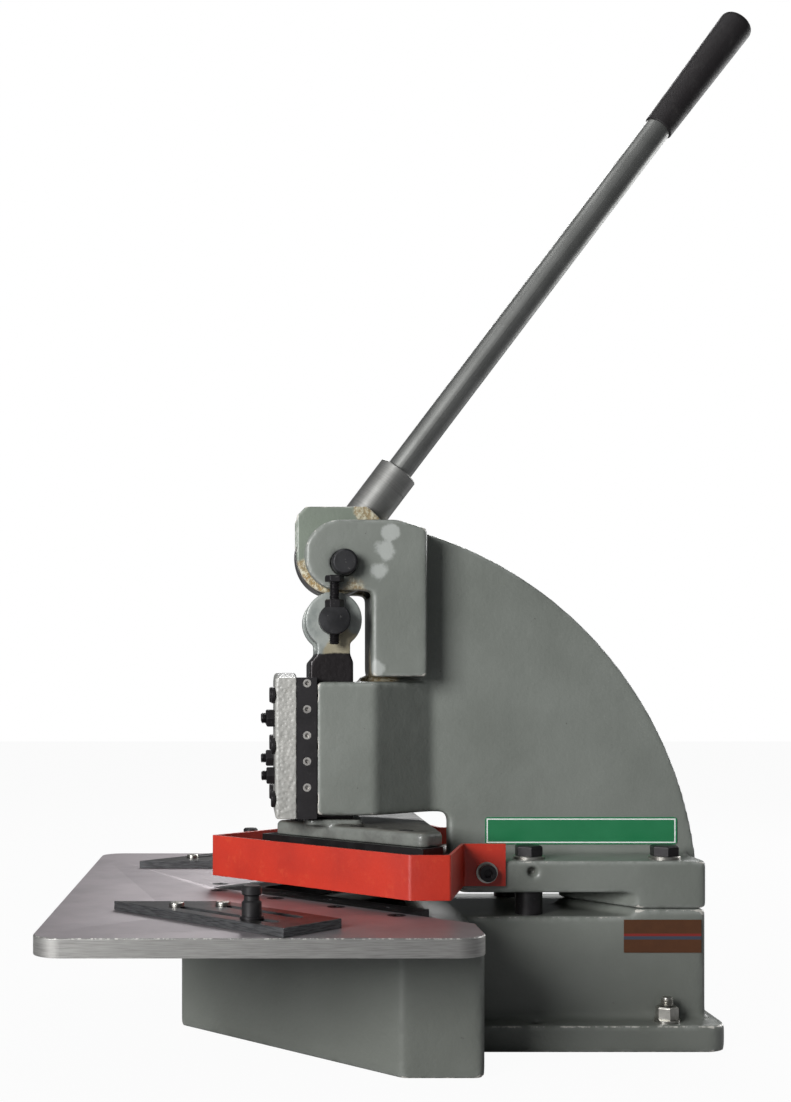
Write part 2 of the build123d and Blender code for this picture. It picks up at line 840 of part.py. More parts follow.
with BuildPart() as gib_cover:
    with BuildSketch(facing(strip_front)):
        with BuildLine():
            Polyline(
                (-housing_half, gib_top),
                (-housing_half, gib_bottom),
                (housing_half, gib_bottom),
                (housing_half, gib_top),
            )
            ThreePointArc(
                (housing_half, gib_top), (0, gib_top + cover_crown), (-housing_half, gib_top)
            )
        make_face()
    extrude(amount=strip_front - cover_front)
    fillet(gib_cover.faces().sort_by(Axis.Y)[0].edges(), radius=cover_edge)
    with BuildSketch(facing(cover_front)):
        with Locations(*gib_bolt_places):
            Circle(gib_bolt_radius + fit)
        with Locations(*adjuster_places):
            Circle(adjuster_radius + fit)
    extrude(amount=cover_front - strip_front, mode=Mode.SUBTRACT)
gib_cover.part.label = "gib_cover"
export_step(gib_cover.part, "parts/gib_cover.step")

with BuildPart() as gib_bolts:
    with BuildSketch(facing(cover_front)):
        with Locations(*gib_bolt_places):
            Circle(gib_bolt_head_radius)
    extrude(amount=gib_bolt_head)
    chamfer(gib_bolts.faces().group_by(Axis.Y)[0].edges(), length=edge_break)
    with BuildSketch(facing(cover_front)):
        with Locations(*gib_bolt_places):
            Circle(gib_bolt_radius)
    extrude(amount=cover_front - housing_front - gib_bolt_depth)
    with BuildSketch(facing(cover_front - gib_bolt_head)):
        with Locations(*gib_bolt_places):
            RegularPolygon(gib_bolt_socket / 2, 6, major_radius=False)
    extrude(amount=-gib_bolt_socket_depth, mode=Mode.SUBTRACT)
gib_bolts.part.label = "gib_bolts"
export_step(gib_bolts.part, "parts/gib_bolts.step")

with BuildPart() as gib_adjusters:
    with BuildSketch(facing(strip_front)):
        with Locations(*adjuster_places):
            Circle(adjuster_radius)
    extrude(amount=strip_front - adjuster_front)
    chamfer(gib_adjusters.faces().group_by(Axis.Y)[0].edges(), length=edge_break)
gib_adjusters.part.label = "gib_adjusters"
export_step(gib_adjusters.part, "parts/gib_adjusters.step")

with BuildPart() as gib_lock_nuts:
    with BuildSketch(facing(cover_front)):
        with Locations(*adjuster_places):
            RegularPolygon(lock_nut_flats / 2, 6, major_radius=False)
    extrude(amount=lock_nut_height)
    chamfer(gib_lock_nuts.faces().group_by(Axis.Y)[0].edges(), length=edge_break)
    with BuildSketch(facing(cover_front)):
        with Locations(*adjuster_places):
            Circle(adjuster_radius + fit)
    extrude(amount=lock_nut_height, mode=Mode.SUBTRACT)
gib_lock_nuts.part.label = "gib_lock_nuts"
export_step(gib_lock_nuts.part, "parts/gib_lock_nuts.step")

# ------------------------------------------------------------------ ram
with BuildPart() as ram:
    with BuildSketch(upright(-ram_half)):
        with BuildLine():
            Polyline(
                (ram_front, ram_bottom),
                (ram_back, ram_bottom),
                (ram_back, ram_shoulder),
                (neck_half, ram_shoulder + shoulder_rise),
                (neck_half, roller_z),
                (-neck_half, roller_z),
                (-neck_half, ram_shoulder + shoulder_rise),
                (ram_front, ram_shoulder),
                close=True,
            )
        make_face()
        with Locations((0, roller_z)):
            Circle(eye_radius)
    extrude(amount=2 * ram_half)
    # Fork slot for the roller and the cam
    fork_floor = roller_z - roller_radius - fork_floor_gap
    with BuildSketch(upright(-fork_slot_half)):
        with Locations((0, fork_floor)):
            Rectangle(
                2 * (eye_radius + past),
                2 * eye_radius + fork_floor_gap + past,
                align=(Align.CENTER, Align.MIN),
            )
    extrude(amount=2 * fork_slot_half, mode=Mode.SUBTRACT)
    # Bore for the roller pin
    with BuildSketch(upright(-ram_half)):
        with Locations((0, roller_z)):
            Circle(roller_pin_radius + fit / 2)
    extrude(amount=2 * ram_half, mode=Mode.SUBTRACT)
    # Lug that stands on the return spring
    with BuildSketch(level(spring_top)):
        lug_front = ram_back - lug_root
        lug_back = spring_y + spring_radius - lug_inset
        with Locations((0, (lug_front + lug_back) / 2)):
            Rectangle(2 * lug_half, lug_back - lug_front)
    extrude(amount=lug_thick)
    # Tapped holes for the shoe's screws
    with BuildSketch(level(ram_bottom)):
        with Locations(*shoe_screw_places):
            Circle(shoe_screw_radius + fit)
    extrude(amount=shoe_screw_length, mode=Mode.SUBTRACT)
ram.part.label = "ram"
export_step(ram.part, "parts/ram.step")

with BuildPart() as return_spring:
    # The wire's centre line rises from one end of the pocket to the lug
    rise = spring_top - spring_bottom - 2 * spring_wire - 2 * float_gap
    wire_radius = spring_radius - spring_wire
    spring_base = level(spring_bottom + spring_wire + float_gap) * Location((0, spring_y, 0))
    with BuildLine(Plane(spring_base)) as coil:
        Helix(pitch=rise / spring_turns, height=rise, radius=wire_radius)
    with BuildSketch(Plane(origin=coil.line @ 0, z_dir=coil.line % 0)):
        Circle(spring_wire)
    sweep(path=coil.line)
return_spring.part.label = "return_spring"
export_step(return_spring.part, "parts/return_spring.step")

# ------------------------------------------------------------------ shoe and upper blades
with BuildPart() as ram_shoe:
    shoe_point = cut_point - shoe_inset
    shoe_corner = along_blade(1, blade_length - shoe_end_inset, shoe_inset / root2)
    shoe_inner = (shoe_corner[0] - (shoe_back - shoe_corner[1]), shoe_back)
    with BuildSketch(level(shoe_bottom)) as shoe_plan:
        with BuildLine():
            Polyline(
                (0, -shoe_point),
                shoe_corner,
                shoe_inner,
                (-shoe_inner[0], shoe_inner[1]),
                (-shoe_corner[0], shoe_corner[1]),
                close=True,
            )
        make_face()
        fillet(shoe_plan.vertices(), radius=shoe_rounding)
    extrude(amount=shoe_thick)
    fillet(ram_shoe.faces().sort_by(Axis.Z)[-1].edges(), radius=shoe_edge)
    with BuildSketch(level(shoe_top - past)):
        with Locations((0, (boss_front + boss_back) / 2)):
            RectangleRounded(2 * boss_half, boss_back - boss_front, shoe_rounding)
    extrude(amount=ram_bottom - shoe_top + past)
    with BuildSketch(level(shoe_bottom)):
        with Locations(*shoe_screw_places):
            Circle(shoe_screw_radius + fit)
    extrude(amount=ram_bottom - shoe_bottom, mode=Mode.SUBTRACT)
    with BuildSketch(level(shoe_bottom)):
        with Locations(*shoe_screw_places):
            Circle(shoe_screw_head_radius + fit)
    extrude(amount=shoe_screw_head, mode=Mode.SUBTRACT)
    with BuildSketch(level(shoe_bottom)):
        with Locations(*upper_screw_places):
            Circle(blade_screw_radius + fit)
    extrude(amount=shoe_thick, mode=Mode.SUBTRACT)
    with BuildSketch(level(shoe_top)):
        with Locations(*upper_screw_places):
            Circle(upper_screw_head_radius + fit)
    extrude(amount=-upper_screw_head, mode=Mode.SUBTRACT)
ram_shoe.part.label = "ram_shoe"
export_step(ram_shoe.part, "parts/ram_shoe.step")

with BuildPart() as shoe_screws:
    with BuildSketch(level(shoe_bottom)):
        with Locations(*shoe_screw_places):
            Circle(shoe_screw_head_radius)
    extrude(amount=shoe_screw_head)
    with BuildSketch(level(shoe_bottom)):
        with Locations(*shoe_screw_places):
            Circle(shoe_screw_radius)
    extrude(amount=shoe_screw_length)
    with BuildSketch(level(shoe_bottom)):
        with Locations(*shoe_screw_places):
            RegularPolygon(shoe_screw_socket / 2, 6, major_radius=False)
    extrude(amount=shoe_screw_socket_depth, mode=Mode.SUBTRACT)
shoe_screws.part.label = "shoe_screws"
export_step(shoe_screws.part, "parts/shoe_screws.step")

for name, side in (("right", 1), ("left", -1)):
    with BuildPart() as upper_blade:
        with BuildSketch(level(upper_blade_bottom)):
            with BuildLine():
                Polyline(
                    (0, -cut_point + upper_face),
                    along_blade(side, blade_length, shear_gap),
                    along_blade(side, blade_length, upper_blade_width),
                    (0, -cut_point + upper_blade_width * root2),
                    close=True,
                )
            make_face()
        extrude(amount=upper_blade_height)
        # The rake lifts the cutting edge from the point of the V to the blade's end
        rake_plane = Plane(
            origin=(0, stroke_y - cut_point, 0), x_dir=(side, 1, 0), z_dir=(1, -side, 0)
        )
        with BuildSketch(rake_plane.offset(-blade_length)):
            with BuildLine():
                Polyline(
                    (0, upper_blade_bottom),
                    (blade_length + past, upper_blade_bottom + blade_rake),
                    (blade_length + past, upper_blade_bottom - past),
                    (0, upper_blade_bottom - past),
                    close=True,
                )
            make_face()
        extrude(amount=2 * blade_length, mode=Mode.SUBTRACT)
        blade_screws = [along_blade(side, d, upper_screw_offset) for d in upper_screw_along]
        with BuildSketch(level(upper_blade_top)):
            with Locations(*blade_screws):
                Circle(blade_screw_radius + fit)
        extrude(amount=-upper_screw_depth - past, mode=Mode.SUBTRACT)
    upper_blade.part.label = f"upper_blade_{name}"
    export_step(upper_blade.part, f"parts/upper_blade_{name}.step")

with BuildPart() as upper_blade_screws:
    with BuildSketch(level(shoe_top)):
        with Locations(*upper_screw_places):
            Circle(upper_screw_head_radius)
    extrude(amount=-upper_screw_head)
    with BuildSketch(level(shoe_top)):
        with Locations(*upper_screw_places):
            Circle(blade_screw_radius)
    extrude(amount=-shoe_thick - upper_screw_depth)
    with BuildSketch(level(shoe_top)):
        with Locations(*upper_screw_places):
            RegularPolygon(upper_screw_socket / 2, 6, major_radius=False)
    extrude(amount=-upper_screw_socket_depth, mode=Mode.SUBTRACT)
upper_blade_screws.part.label = "upper_blade_screws"
export_step(upper_blade_screws.part, "parts/upper_blade_screws.step")

# ------------------------------------------------------------------ roller and its pin
with BuildPart() as roller:
    with BuildSketch(upright(-roller_half)):
        with Locations((0, roller_z)):
            Circle(roller_radius)
            Circle(roller_bush_radius + fit / 2, mode=Mode.SUBTRACT)
    extrude(amount=2 * roller_half)
    chamfer(roller.edges().filter_by(GeomType.CIRCLE).group_by(SortBy.RADIUS)[-1], length=roller_chamfer)
roller.part.label = "roller"
export_step(roller.part, "parts/roller.step")

with BuildPart() as roller_bush:
    with BuildSketch(upright(-roller_half)):
        with Locations((0, roller_z)):
            Circle(roller_bush_radius)
            Circle(roller_pin_radius + running, mode=Mode.SUBTRACT)
    extrude(amount=2 * roller_half)
roller_bush.part.label = "roller_bush"
export_step(roller_bush.part, "parts/roller_bush.step")

with BuildPart() as roller_pin:
    with BuildSketch(upright(-pin_tail_end)):
        with Locations((0, roller_z)):
            Circle(roller_pin_radius)
    extrude(amount=pin_tail_end + ram_half)
    with BuildSketch(upright(ram_half)):
        with Locations((0, roller_z)):
            Circle(pin_head_radius)
    extrude(amount=pin_head_end - ram_half)
    chamfer(roller_pin.faces().sort_by(Axis.X)[-1].edges(), length=edge_break)
    chamfer(roller_pin.faces().sort_by(Axis.X)[0].edges(), length=edge_break)
    # Flats and cross hole for the stop bolt
    with BuildSketch(level(pin_flat_z)):
        with Locations((stop_x, 0)):
            Rectangle(2 * (pin_head_end - stop_x + past), 4 * pin_head_radius)
    extrude(amount=pin_head_radius, mode=Mode.SUBTRACT)
    with BuildSketch(level(roller_z - 2 * pin_head_radius)):
        with Locations((stop_x, 0)):
            Circle(stop_bolt_radius + fit)
    extrude(amount=4 * pin_head_radius, mode=Mode.SUBTRACT)
roller_pin.part.label = "roller_pin"
export_step(roller_pin.part, "parts/roller_pin.step")

with BuildPart() as stop_bolt:
    with BuildSketch(level(stop_head_top - stop_head)):
        with Locations((stop_x, 0)):
            RegularPolygon(stop_flats / 2, 6, major_radius=False, rotation=30)
    extrude(amount=stop_head)
    chamfer(stop_bolt.faces().sort_by(Axis.Z)[-1].edges(), length=edge_break)
    with BuildSketch(level(stop_head_top - stop_head)):
        with Locations((stop_x, 0)):
            Circle(stop_bolt_radius)
    extrude(amount=-stop_bolt_length)
    chamfer(stop_bolt.faces().sort_by(Axis.Z)[0].edges(), length=edge_break)
stop_bolt.part.label = "stop_bolt"
export_step(stop_bolt.part, "parts/stop_bolt.step")

with BuildPart() as stop_nut:
    with BuildSketch(level(pin_flat_z)):
        with Locations((stop_x, 0)):
            RegularPolygon(stop_flats / 2, 6, major_radius=False, rotation=30)
    extrude(amount=stop_nut_height)
    chamfer(stop_nut.faces().sort_by(Axis.Z)[-1].edges(), length=edge_break)
    with BuildSketch(level(pin_flat_z)):
        with Locations((stop_x, 0)):
            Circle(stop_bolt_radius + fit)
    extrude(amount=stop_nut_height, mode=Mode.SUBTRACT)
stop_nut.part.label = "stop_nut"
export_step(stop_nut.part, "parts/stop_nut.step")

# ------------------------------------------------------------------ pivot
with BuildPart() as pivot_pin:
    with BuildSketch(upright(-pivot_half)):
        with Locations((pivot_y, pivot_z)):
            Circle(pivot_radius)
    extrude(amount=2 * pivot_half)
    chamfer(pivot_pin.edges().filter_by(GeomType.CIRCLE), length=pivot_chamfer)
pivot_pin.part.label = "pivot_pin"
export_step(pivot_pin.part, "parts/pivot_pin.step")

with BuildPart() as pivot_bush:
    with BuildSketch(upright(-cheek_outer)):
        with Locations((pivot_y, pivot_z)):
            Circle(pivot_bush_radius)
            Circle(pivot_radius + running, mode=Mode.SUBTRACT)
    extrude(amount=2 * cheek_outer)
pivot_bush.part.label = "pivot_bush"
export_step(pivot_bush.part, "parts/pivot_bush.step")

# ------------------------------------------------------------------ lever hub
collar_line = Plane(
    origin=(
        0,
        stroke_y + pivot_y - lever_offset * sin(radians(lever_angle)),
        pivot_z + lever_offset * cos(radians(lever_angle)),
    ),
    x_dir=(1, 0, 0),
    z_dir=(0, cos(radians(lever_angle)), sin(radians(lever_angle))),
)
cam_turns = [radians(lever_travel) * i / 10 for i in range(11)]
hub_pieces = (
    ("cam_block", -core_half, 2 * core_half, 0.0, core_inset),
    ("hub_cheek_right", core_half + fit, cheek_outer - core_half - fit, cheek_relief, 0.0),
    ("hub_cheek_left", -cheek_outer, cheek_outer - core_half - fit, cheek_relief, 0.0),
)
for name, start, width, relief, inset in hub_pieces:
    with BuildPart() as hub_piece:
        cam_line = [cam_point(turn, cam_gap + relief) for turn in cam_turns]
        right = pivot_y + hub_right
        left = pivot_y + hub_left + inset
        top = pivot_z + hub_top
        with BuildSketch(upright(start)):
            with BuildLine():
                Spline(*cam_line)
                Polyline(
                    cam_line[-1],
                    (left, cam_line[-1][1] + hub_heel),
                    (left, top - hub_left_chamfer),
                    (left + hub_left_chamfer, top),
                    (right - hub_right_chamfer, top),
                    (right, top - hub_right_chamfer),
                    (right, pivot_z),
                )
                ThreePointArc(
                    (right, pivot_z),
                    (pivot_y + hub_belly[0], pivot_z - hub_belly[1]),
                    cam_line[0],
                )
            make_face()
            with Locations((pivot_y, pivot_z)):
                Circle(pivot_bush_radius + fit / 2, mode=Mode.SUBTRACT)
        extrude(amount=width)
        with BuildSketch(collar_line.offset(collar_start)):
            Circle(collar_radius + fit / 2)
        extrude(amount=collar_end, mode=Mode.SUBTRACT)
    hub_piece.part.label = name
    export_step(hub_piece.part, f"parts/{name}.step")

# ------------------------------------------------------------------ lever
with BuildPart() as collar:
    with BuildSketch(collar_line.offset(collar_start)):
        Circle(collar_radius)
    extrude(amount=collar_end - collar_start)
    chamfer(collar.edges().filter_by(GeomType.CIRCLE), length=edge_break)
    with BuildSketch(collar_line.offset(collar_end - collar_groove_from_end)):
        Circle(collar_radius + past)
        Circle(collar_radius - collar_groove / 2, mode=Mode.SUBTRACT)
    extrude(amount=collar_groove, mode=Mode.SUBTRACT)
    with BuildSketch(collar_line.offset(tube_start)):
        Circle(tube_radius + fit)
    extrude(amount=collar_end - tube_start, mode=Mode.SUBTRACT)
collar.part.label = "collar"
export_step(collar.part, "parts/collar.step")

with BuildPart() as lever_tube:
    with BuildSketch(collar_line.offset(tube_start)):
        Circle(tube_radius)
        Circle(tube_bore, mode=Mode.SUBTRACT)
    extrude(amount=tube_end - tube_start)
lever_tube.part.label = "lever_tube"
export_step(lever_tube.part, "parts/lever_tube.step")

with BuildPart() as grip:
    with BuildSketch(collar_line.offset(grip_start)):
        Circle(grip_low_radius)
    with BuildSketch(collar_line.offset(grip_end)):
        Circle(grip_high_radius)
    loft()
    grip_ends = grip.faces().filter_by(GeomType.PLANE).sort_by(Axis.Z)
    fillet(grip_ends[-1].edges(), radius=grip_end_round)
    fillet(grip_ends[0].edges(), radius=edge_break)
    with BuildSketch(collar_line.offset(grip_start)):
        Circle(tube_radius + fit)
    extrude(amount=tube_end - grip_start, mode=Mode.SUBTRACT)
grip.part.label = "grip"
export_step(grip.part, "parts/grip.step")

# ------------------------------------------------------------------ blade guard
with BuildPart() as blade_guard:
    with BuildSketch(level(guard_bottom)):
        with BuildLine() as guard_line:
            Polyline(
                (-rear_half, guard_tab_end),
                (-rear_half, guard_tab_start),
                (-guard_half, guard_side_end),
                (-guard_half, guard_half - guard_point),
                (0, -guard_point),
                (guard_half, guard_half - guard_point),
                (guard_half, guard_side_end),
                (rear_half, guard_tab_start),
                (rear_half, guard_tab_end),
            )
            offset(guard_line.line, amount=guard_thick, side=Side.RIGHT, kind=Kind.INTERSECTION)
        make_face()
    extrude(amount=guard_top - guard_bottom)
    with BuildSketch(upright(-guard_half)):
        with Locations((guard_screw_y, guard_screw_z)):
            Circle(guard_screw_radius + fit)
    extrude(amount=2 * guard_half, mode=Mode.SUBTRACT)
blade_guard.part.label = "blade_guard"
export_step(blade_guard.part, "parts/blade_guard.step")

with BuildPart() as guard_washers:
    for side in (1, -1):
        with BuildSketch(upright(side * (rear_half + guard_thick))):
            with Locations((guard_screw_y, guard_screw_z)):
                Circle(guard_washer_radius)
                Circle(guard_screw_radius + fit, mode=Mode.SUBTRACT)
        extrude(amount=side * guard_washer_thick)
guard_washers.part.label = "guard_washers"
export_step(guard_washers.part, "parts/guard_washers.step")

with BuildPart() as guard_screws:
    for side in (1, -1):
        head_face = rear_half + guard_thick + guard_washer_thick
        with BuildSketch(upright(side * head_face)):
            with Locations((guard_screw_y, guard_screw_z)):
                Circle(guard_screw_head_radius)
        extrude(amount=side * guard_screw_head)
        with BuildSketch(upright(side * head_face)):
            with Locations((guard_screw_y, guard_screw_z)):
                Circle(guard_screw_radius)
        extrude(amount=side * (rear_half - guard_screw_depth - head_face))
        with BuildSketch(upright(side * (head_face + guard_screw_head))):
            with Locations((guard_screw_y, guard_screw_z)):
                RegularPolygon(guard_screw_socket / 2, 6, major_radius=False)
        extrude(amount=-side * guard_screw_socket_depth, mode=Mode.SUBTRACT)
guard_screws.part.label = "guard_screws"
export_step(guard_screws.part, "parts/guard_screws.step")

# ------------------------------------------------------------------ fences
for name, side in (("right", 1), ("left", -1)):
    with BuildPart() as fence:
        with BuildSketch(level(fence_z)):
            with BuildLine():
                Polyline(
                    on_fence(side, fence_start, 0),
                    on_fence(side, fence_end, 0),
                    on_fence(side, fence_end, fence_width),
                    on_fence(side, fence_start + fence_width, fence_width),
                    close=True,
                )
            make_face()
            for slot_u, slot_v, slot_length in fence_slots:
                with Locations(on_fence(side, slot_u, slot_v)):
                    SlotOverall(slot_length, fence_slot_width, rotation=side * 45, mode=Mode.SUBTRACT)
        extrude(amount=fence_thick)
    fence.part.label = f"fence_{name}"
    export_step(fence.part, f"parts/fence_{name}.step")

    with BuildPart() as clamp_washer:
        with BuildSketch(level(fence_top + float_gap)):
            with Locations(on_fence(side, knob_u, knob_v)):
                Circle(knob_washer_radius)
                Circle(knob_shaft_radius + running, mode=Mode.SUBTRACT)
        extrude(amount=knob_washer_thick)
    clamp_washer.part.label = f"clamp_washer_{name}"
    export_step(clamp_washer.part, f"parts/clamp_washer_{name}.step")

    knob_seat = fence_top + float_gap + knob_washer_thick + float_gap
    knob_profile = Plane(
        origin=(on_fence(side, knob_u, knob_v)[0], stroke_y + on_fence(side, knob_u, knob_v)[1], 0),
        x_dir=(0, 1, 0),
        z_dir=(1, 0, 0),
    )
    with BuildPart() as clamp_knob:
        with BuildSketch(knob_profile):
            with BuildLine():
                Polyline(
                    (0, table_z - knob_shaft_depth),
                    (knob_shaft_radius, table_z - knob_shaft_depth),
                    (knob_shaft_radius, knob_seat),
                    (knob_radius, knob_seat),
                    (knob_radius, knob_seat + knob_skirt),
                    (knob_neck_radius, knob_seat + knob_waist[0]),
                    (knob_neck_radius, knob_seat + knob_waist[1]),
                    (knob_radius, knob_seat + knob_head[0]),
                    (knob_radius, knob_seat + knob_head[1]),
                    (knob_radius - knob_crown, knob_seat + knob_height),
                    (0, knob_seat + knob_height),
                    close=True,
                )
            make_face()
        revolve(axis=Axis(knob_profile.origin, (0, 0, 1)))
    clamp_knob.part.label = f"clamp_knob_{name}"
    export_step(clamp_knob.part, f"parts/clamp_knob_{name}.step")

with BuildPart() as fence_screws:
    with BuildSketch(level(fence_top + slide_gap)):
        with Locations(*fence_bolt_places):
            Circle(fence_screw_head_radius)
    extrude(amount=fence_screw_head)
    fillet(fence_screws.faces().group_by(Axis.Z)[-1].edges(), radius=fence_screw_round)
    with BuildSketch(level(fence_top + slide_gap)):
        with Locations(*fence_bolt_places):
            Circle(fence_screw_radius)
    extrude(amount=table_z - fence_screw_depth - fence_top - slide_gap)
    with BuildSketch(level(fence_top + slide_gap + fence_screw_head)):
        with Locations(*fence_bolt_places):
            RegularPolygon(fence_screw_socket / 2, 6, major_radius=False)
    extrude(amount=-fence_screw_socket_depth, mode=Mode.SUBTRACT)
fence_screws.part.label = "fence_screws"
export_step(fence_screws.part, "parts/fence_screws.step")

# ------------------------------------------------------------------ plates
with BuildPart() as label_plate:
    with BuildSketch(upright(web_half)):
        with Locations(((label_start + label_end) / 2, (label_bottom + label_top) / 2)):
            RectangleRounded(label_end - label_start, label_top - label_bottom, label_corner)
    extrude(amount=label_thick)
label_plate.part.label = "label_plate"
export_step(label_plate.part, "parts/label_plate.step")

with BuildPart() as data_plate:
    with BuildSketch(upright(rear_half)):
        with Locations(((data_start + data_end) / 2, (data_bottom + data_top) / 2)):
            Rectangle(data_end - data_start, data_top - data_bottom)
    extrude(amount=label_thick)
data_plate.part.label = "data_plate"
export_step(data_plate.part, "parts/data_plate.step")
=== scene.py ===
import bpy
import math
from mathutils import Matrix, Vector


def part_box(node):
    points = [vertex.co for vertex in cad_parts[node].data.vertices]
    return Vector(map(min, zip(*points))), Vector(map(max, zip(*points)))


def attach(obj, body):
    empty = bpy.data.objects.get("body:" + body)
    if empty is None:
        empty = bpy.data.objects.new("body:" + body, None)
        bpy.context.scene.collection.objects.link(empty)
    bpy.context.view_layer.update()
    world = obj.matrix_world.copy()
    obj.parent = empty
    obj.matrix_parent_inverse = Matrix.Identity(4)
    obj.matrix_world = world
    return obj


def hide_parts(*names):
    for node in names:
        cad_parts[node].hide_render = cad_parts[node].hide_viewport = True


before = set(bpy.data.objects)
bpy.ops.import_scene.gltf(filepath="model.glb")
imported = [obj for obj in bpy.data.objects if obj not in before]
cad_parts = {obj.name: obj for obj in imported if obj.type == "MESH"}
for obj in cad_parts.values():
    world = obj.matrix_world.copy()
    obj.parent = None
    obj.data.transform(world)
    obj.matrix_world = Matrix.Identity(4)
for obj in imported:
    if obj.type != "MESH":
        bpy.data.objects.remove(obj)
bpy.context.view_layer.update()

# ---------------------------------------------------------------- studio
# A pale floor, one wide soft light from the left front and weak fills, as in a small product
# studio. The camera looks square at the machine's right side, from the height of the ram guides.

bpy.ops.object.select_all(action="DESELECT")
bpy.ops.mesh.primitive_plane_add(size=16, location=(0, 0, -0.0005))
floor = bpy.context.object
floor.name = "studio_floor"
paper = bpy.data.materials.new("studio_paper")
paper.use_nodes = True
paper_shader = paper.node_tree.nodes["Principled BSDF"]
paper_shader.inputs["Base Color"].default_value = (0.3, 0.3, 0.31, 1)
paper_shader.inputs["Roughness"].default_value = 0.95
lit_paper = paper.node_tree.nodes.new("ShaderNodeEmission")
paper_view = paper.node_tree.nodes.new("ShaderNodeLightPath")
paper_share = paper.node_tree.nodes.new("ShaderNodeMath")
paper_share.operation = "MULTIPLY"
paper_share.inputs[1].default_value = 0.96
paper_mix = paper.node_tree.nodes.new("ShaderNodeMixShader")
paper.node_tree.links.new(paper_view.outputs["Is Camera Ray"], paper_share.inputs[0])
paper.node_tree.links.new(paper_share.outputs[0], paper_mix.inputs[0])
paper.node_tree.links.new(paper_shader.outputs[0], paper_mix.inputs[1])
paper.node_tree.links.new(lit_paper.outputs[0], paper_mix.inputs[2])
paper.node_tree.links.new(paper_mix.outputs[0], paper.node_tree.nodes["Material Output"].inputs[0])
floor.data.materials.append(paper)

air = bpy.data.worlds.new("studio_air")
bpy.context.scene.world = air
air.use_nodes = True
dim_air = air.node_tree.nodes["Background"]
dim_air.inputs["Color"].default_value = (0.93, 0.97, 1.0, 1)
dim_air.inputs["Strength"].default_value = 0.1
white_wall = air.node_tree.nodes.new("ShaderNodeBackground")
white_wall.inputs["Color"].default_value = (1, 1, 1, 1)
wall_or_air = air.node_tree.nodes.new("ShaderNodeMixShader")
rays = air.node_tree.nodes.new("ShaderNodeLightPath")
air.node_tree.links.new(rays.outputs["Is Camera Ray"], wall_or_air.inputs[0])
air.node_tree.links.new(dim_air.outputs[0], wall_or_air.inputs[1])
air.node_tree.links.new(white_wall.outputs[0], wall_or_air.inputs[2])
air.node_tree.links.new(wall_or_air.outputs[0], air.node_tree.nodes["World Output"].inputs[0])


def softbox(name, place, target, width, power):
    """A square lamp at a place, turned to its target."""
    bpy.ops.object.light_add(type="AREA", location=place)
    lamp = bpy.context.object
    lamp.name = name
    lamp.data.size = width
    lamp.data.energy = power
    lamp.rotation_euler = (Vector(target) - Vector(place)).to_track_quat("-Z", "Y").to_euler()


softbox("key_light", (1.9, -1.75, 1.0), (0, -0.1, 0.35), 1.1, 82)
softbox("top_light", (0.1, -0.9, 2.6), (0, -0.1, 0.3), 0.9, 7)
softbox("far_light", (-1.9, 0.3, 1.8), (0, 0, 0.3), 1.2, 42)
softbox("rear_light", (-1.3, 2.0, 0.9), (0, 0, 0.3), 1.2, 26)

bpy.ops.object.camera_add(location=(1.45, -0.268, 0.335), rotation=(math.pi / 2, 0, math.pi / 2))
camera = bpy.context.object
camera.data.lens = 47.37
camera.data.shift_x = 0.1338
camera.data.shift_y = 0.1261
bpy.context.scene.camera = camera
bpy.context.scene.view_settings.view_transform = "Standard"

# ---------------------------------------------------------------- base casting
# The hollow grey iron foot: a five-sided body under the table and a long body under the frame,
# sand cast, dressed with filler and sprayed in grey-green enamel, chipped along its edges.


class Wire:
    """One value inside a finish; sums and products of wires add the maths nodes."""

    def __init__(self, finish, socket):
        self.finish = finish
        self.socket = socket

    def maths(self, operation, first, second):
        return self.finish.node("Math", {"operation": operation}, {0: first, 1: second})

    def __add__(self, other):
        return self.maths("ADD", self, other)

    def __mul__(self, other):
        return self.maths("MULTIPLY", self, other)

    def __sub__(self, other):
        return self.maths("SUBTRACT", self, other)

    def __rsub__(self, other):
        return self.maths("SUBTRACT", other, self)

    def __gt__(self, other):
        return self.maths("GREATER_THAN", self, other)

    def __lt__(self, other):
        return self.maths("LESS_THAN", self, other)

    __radd__ = __add__
    __rmul__ = __mul__


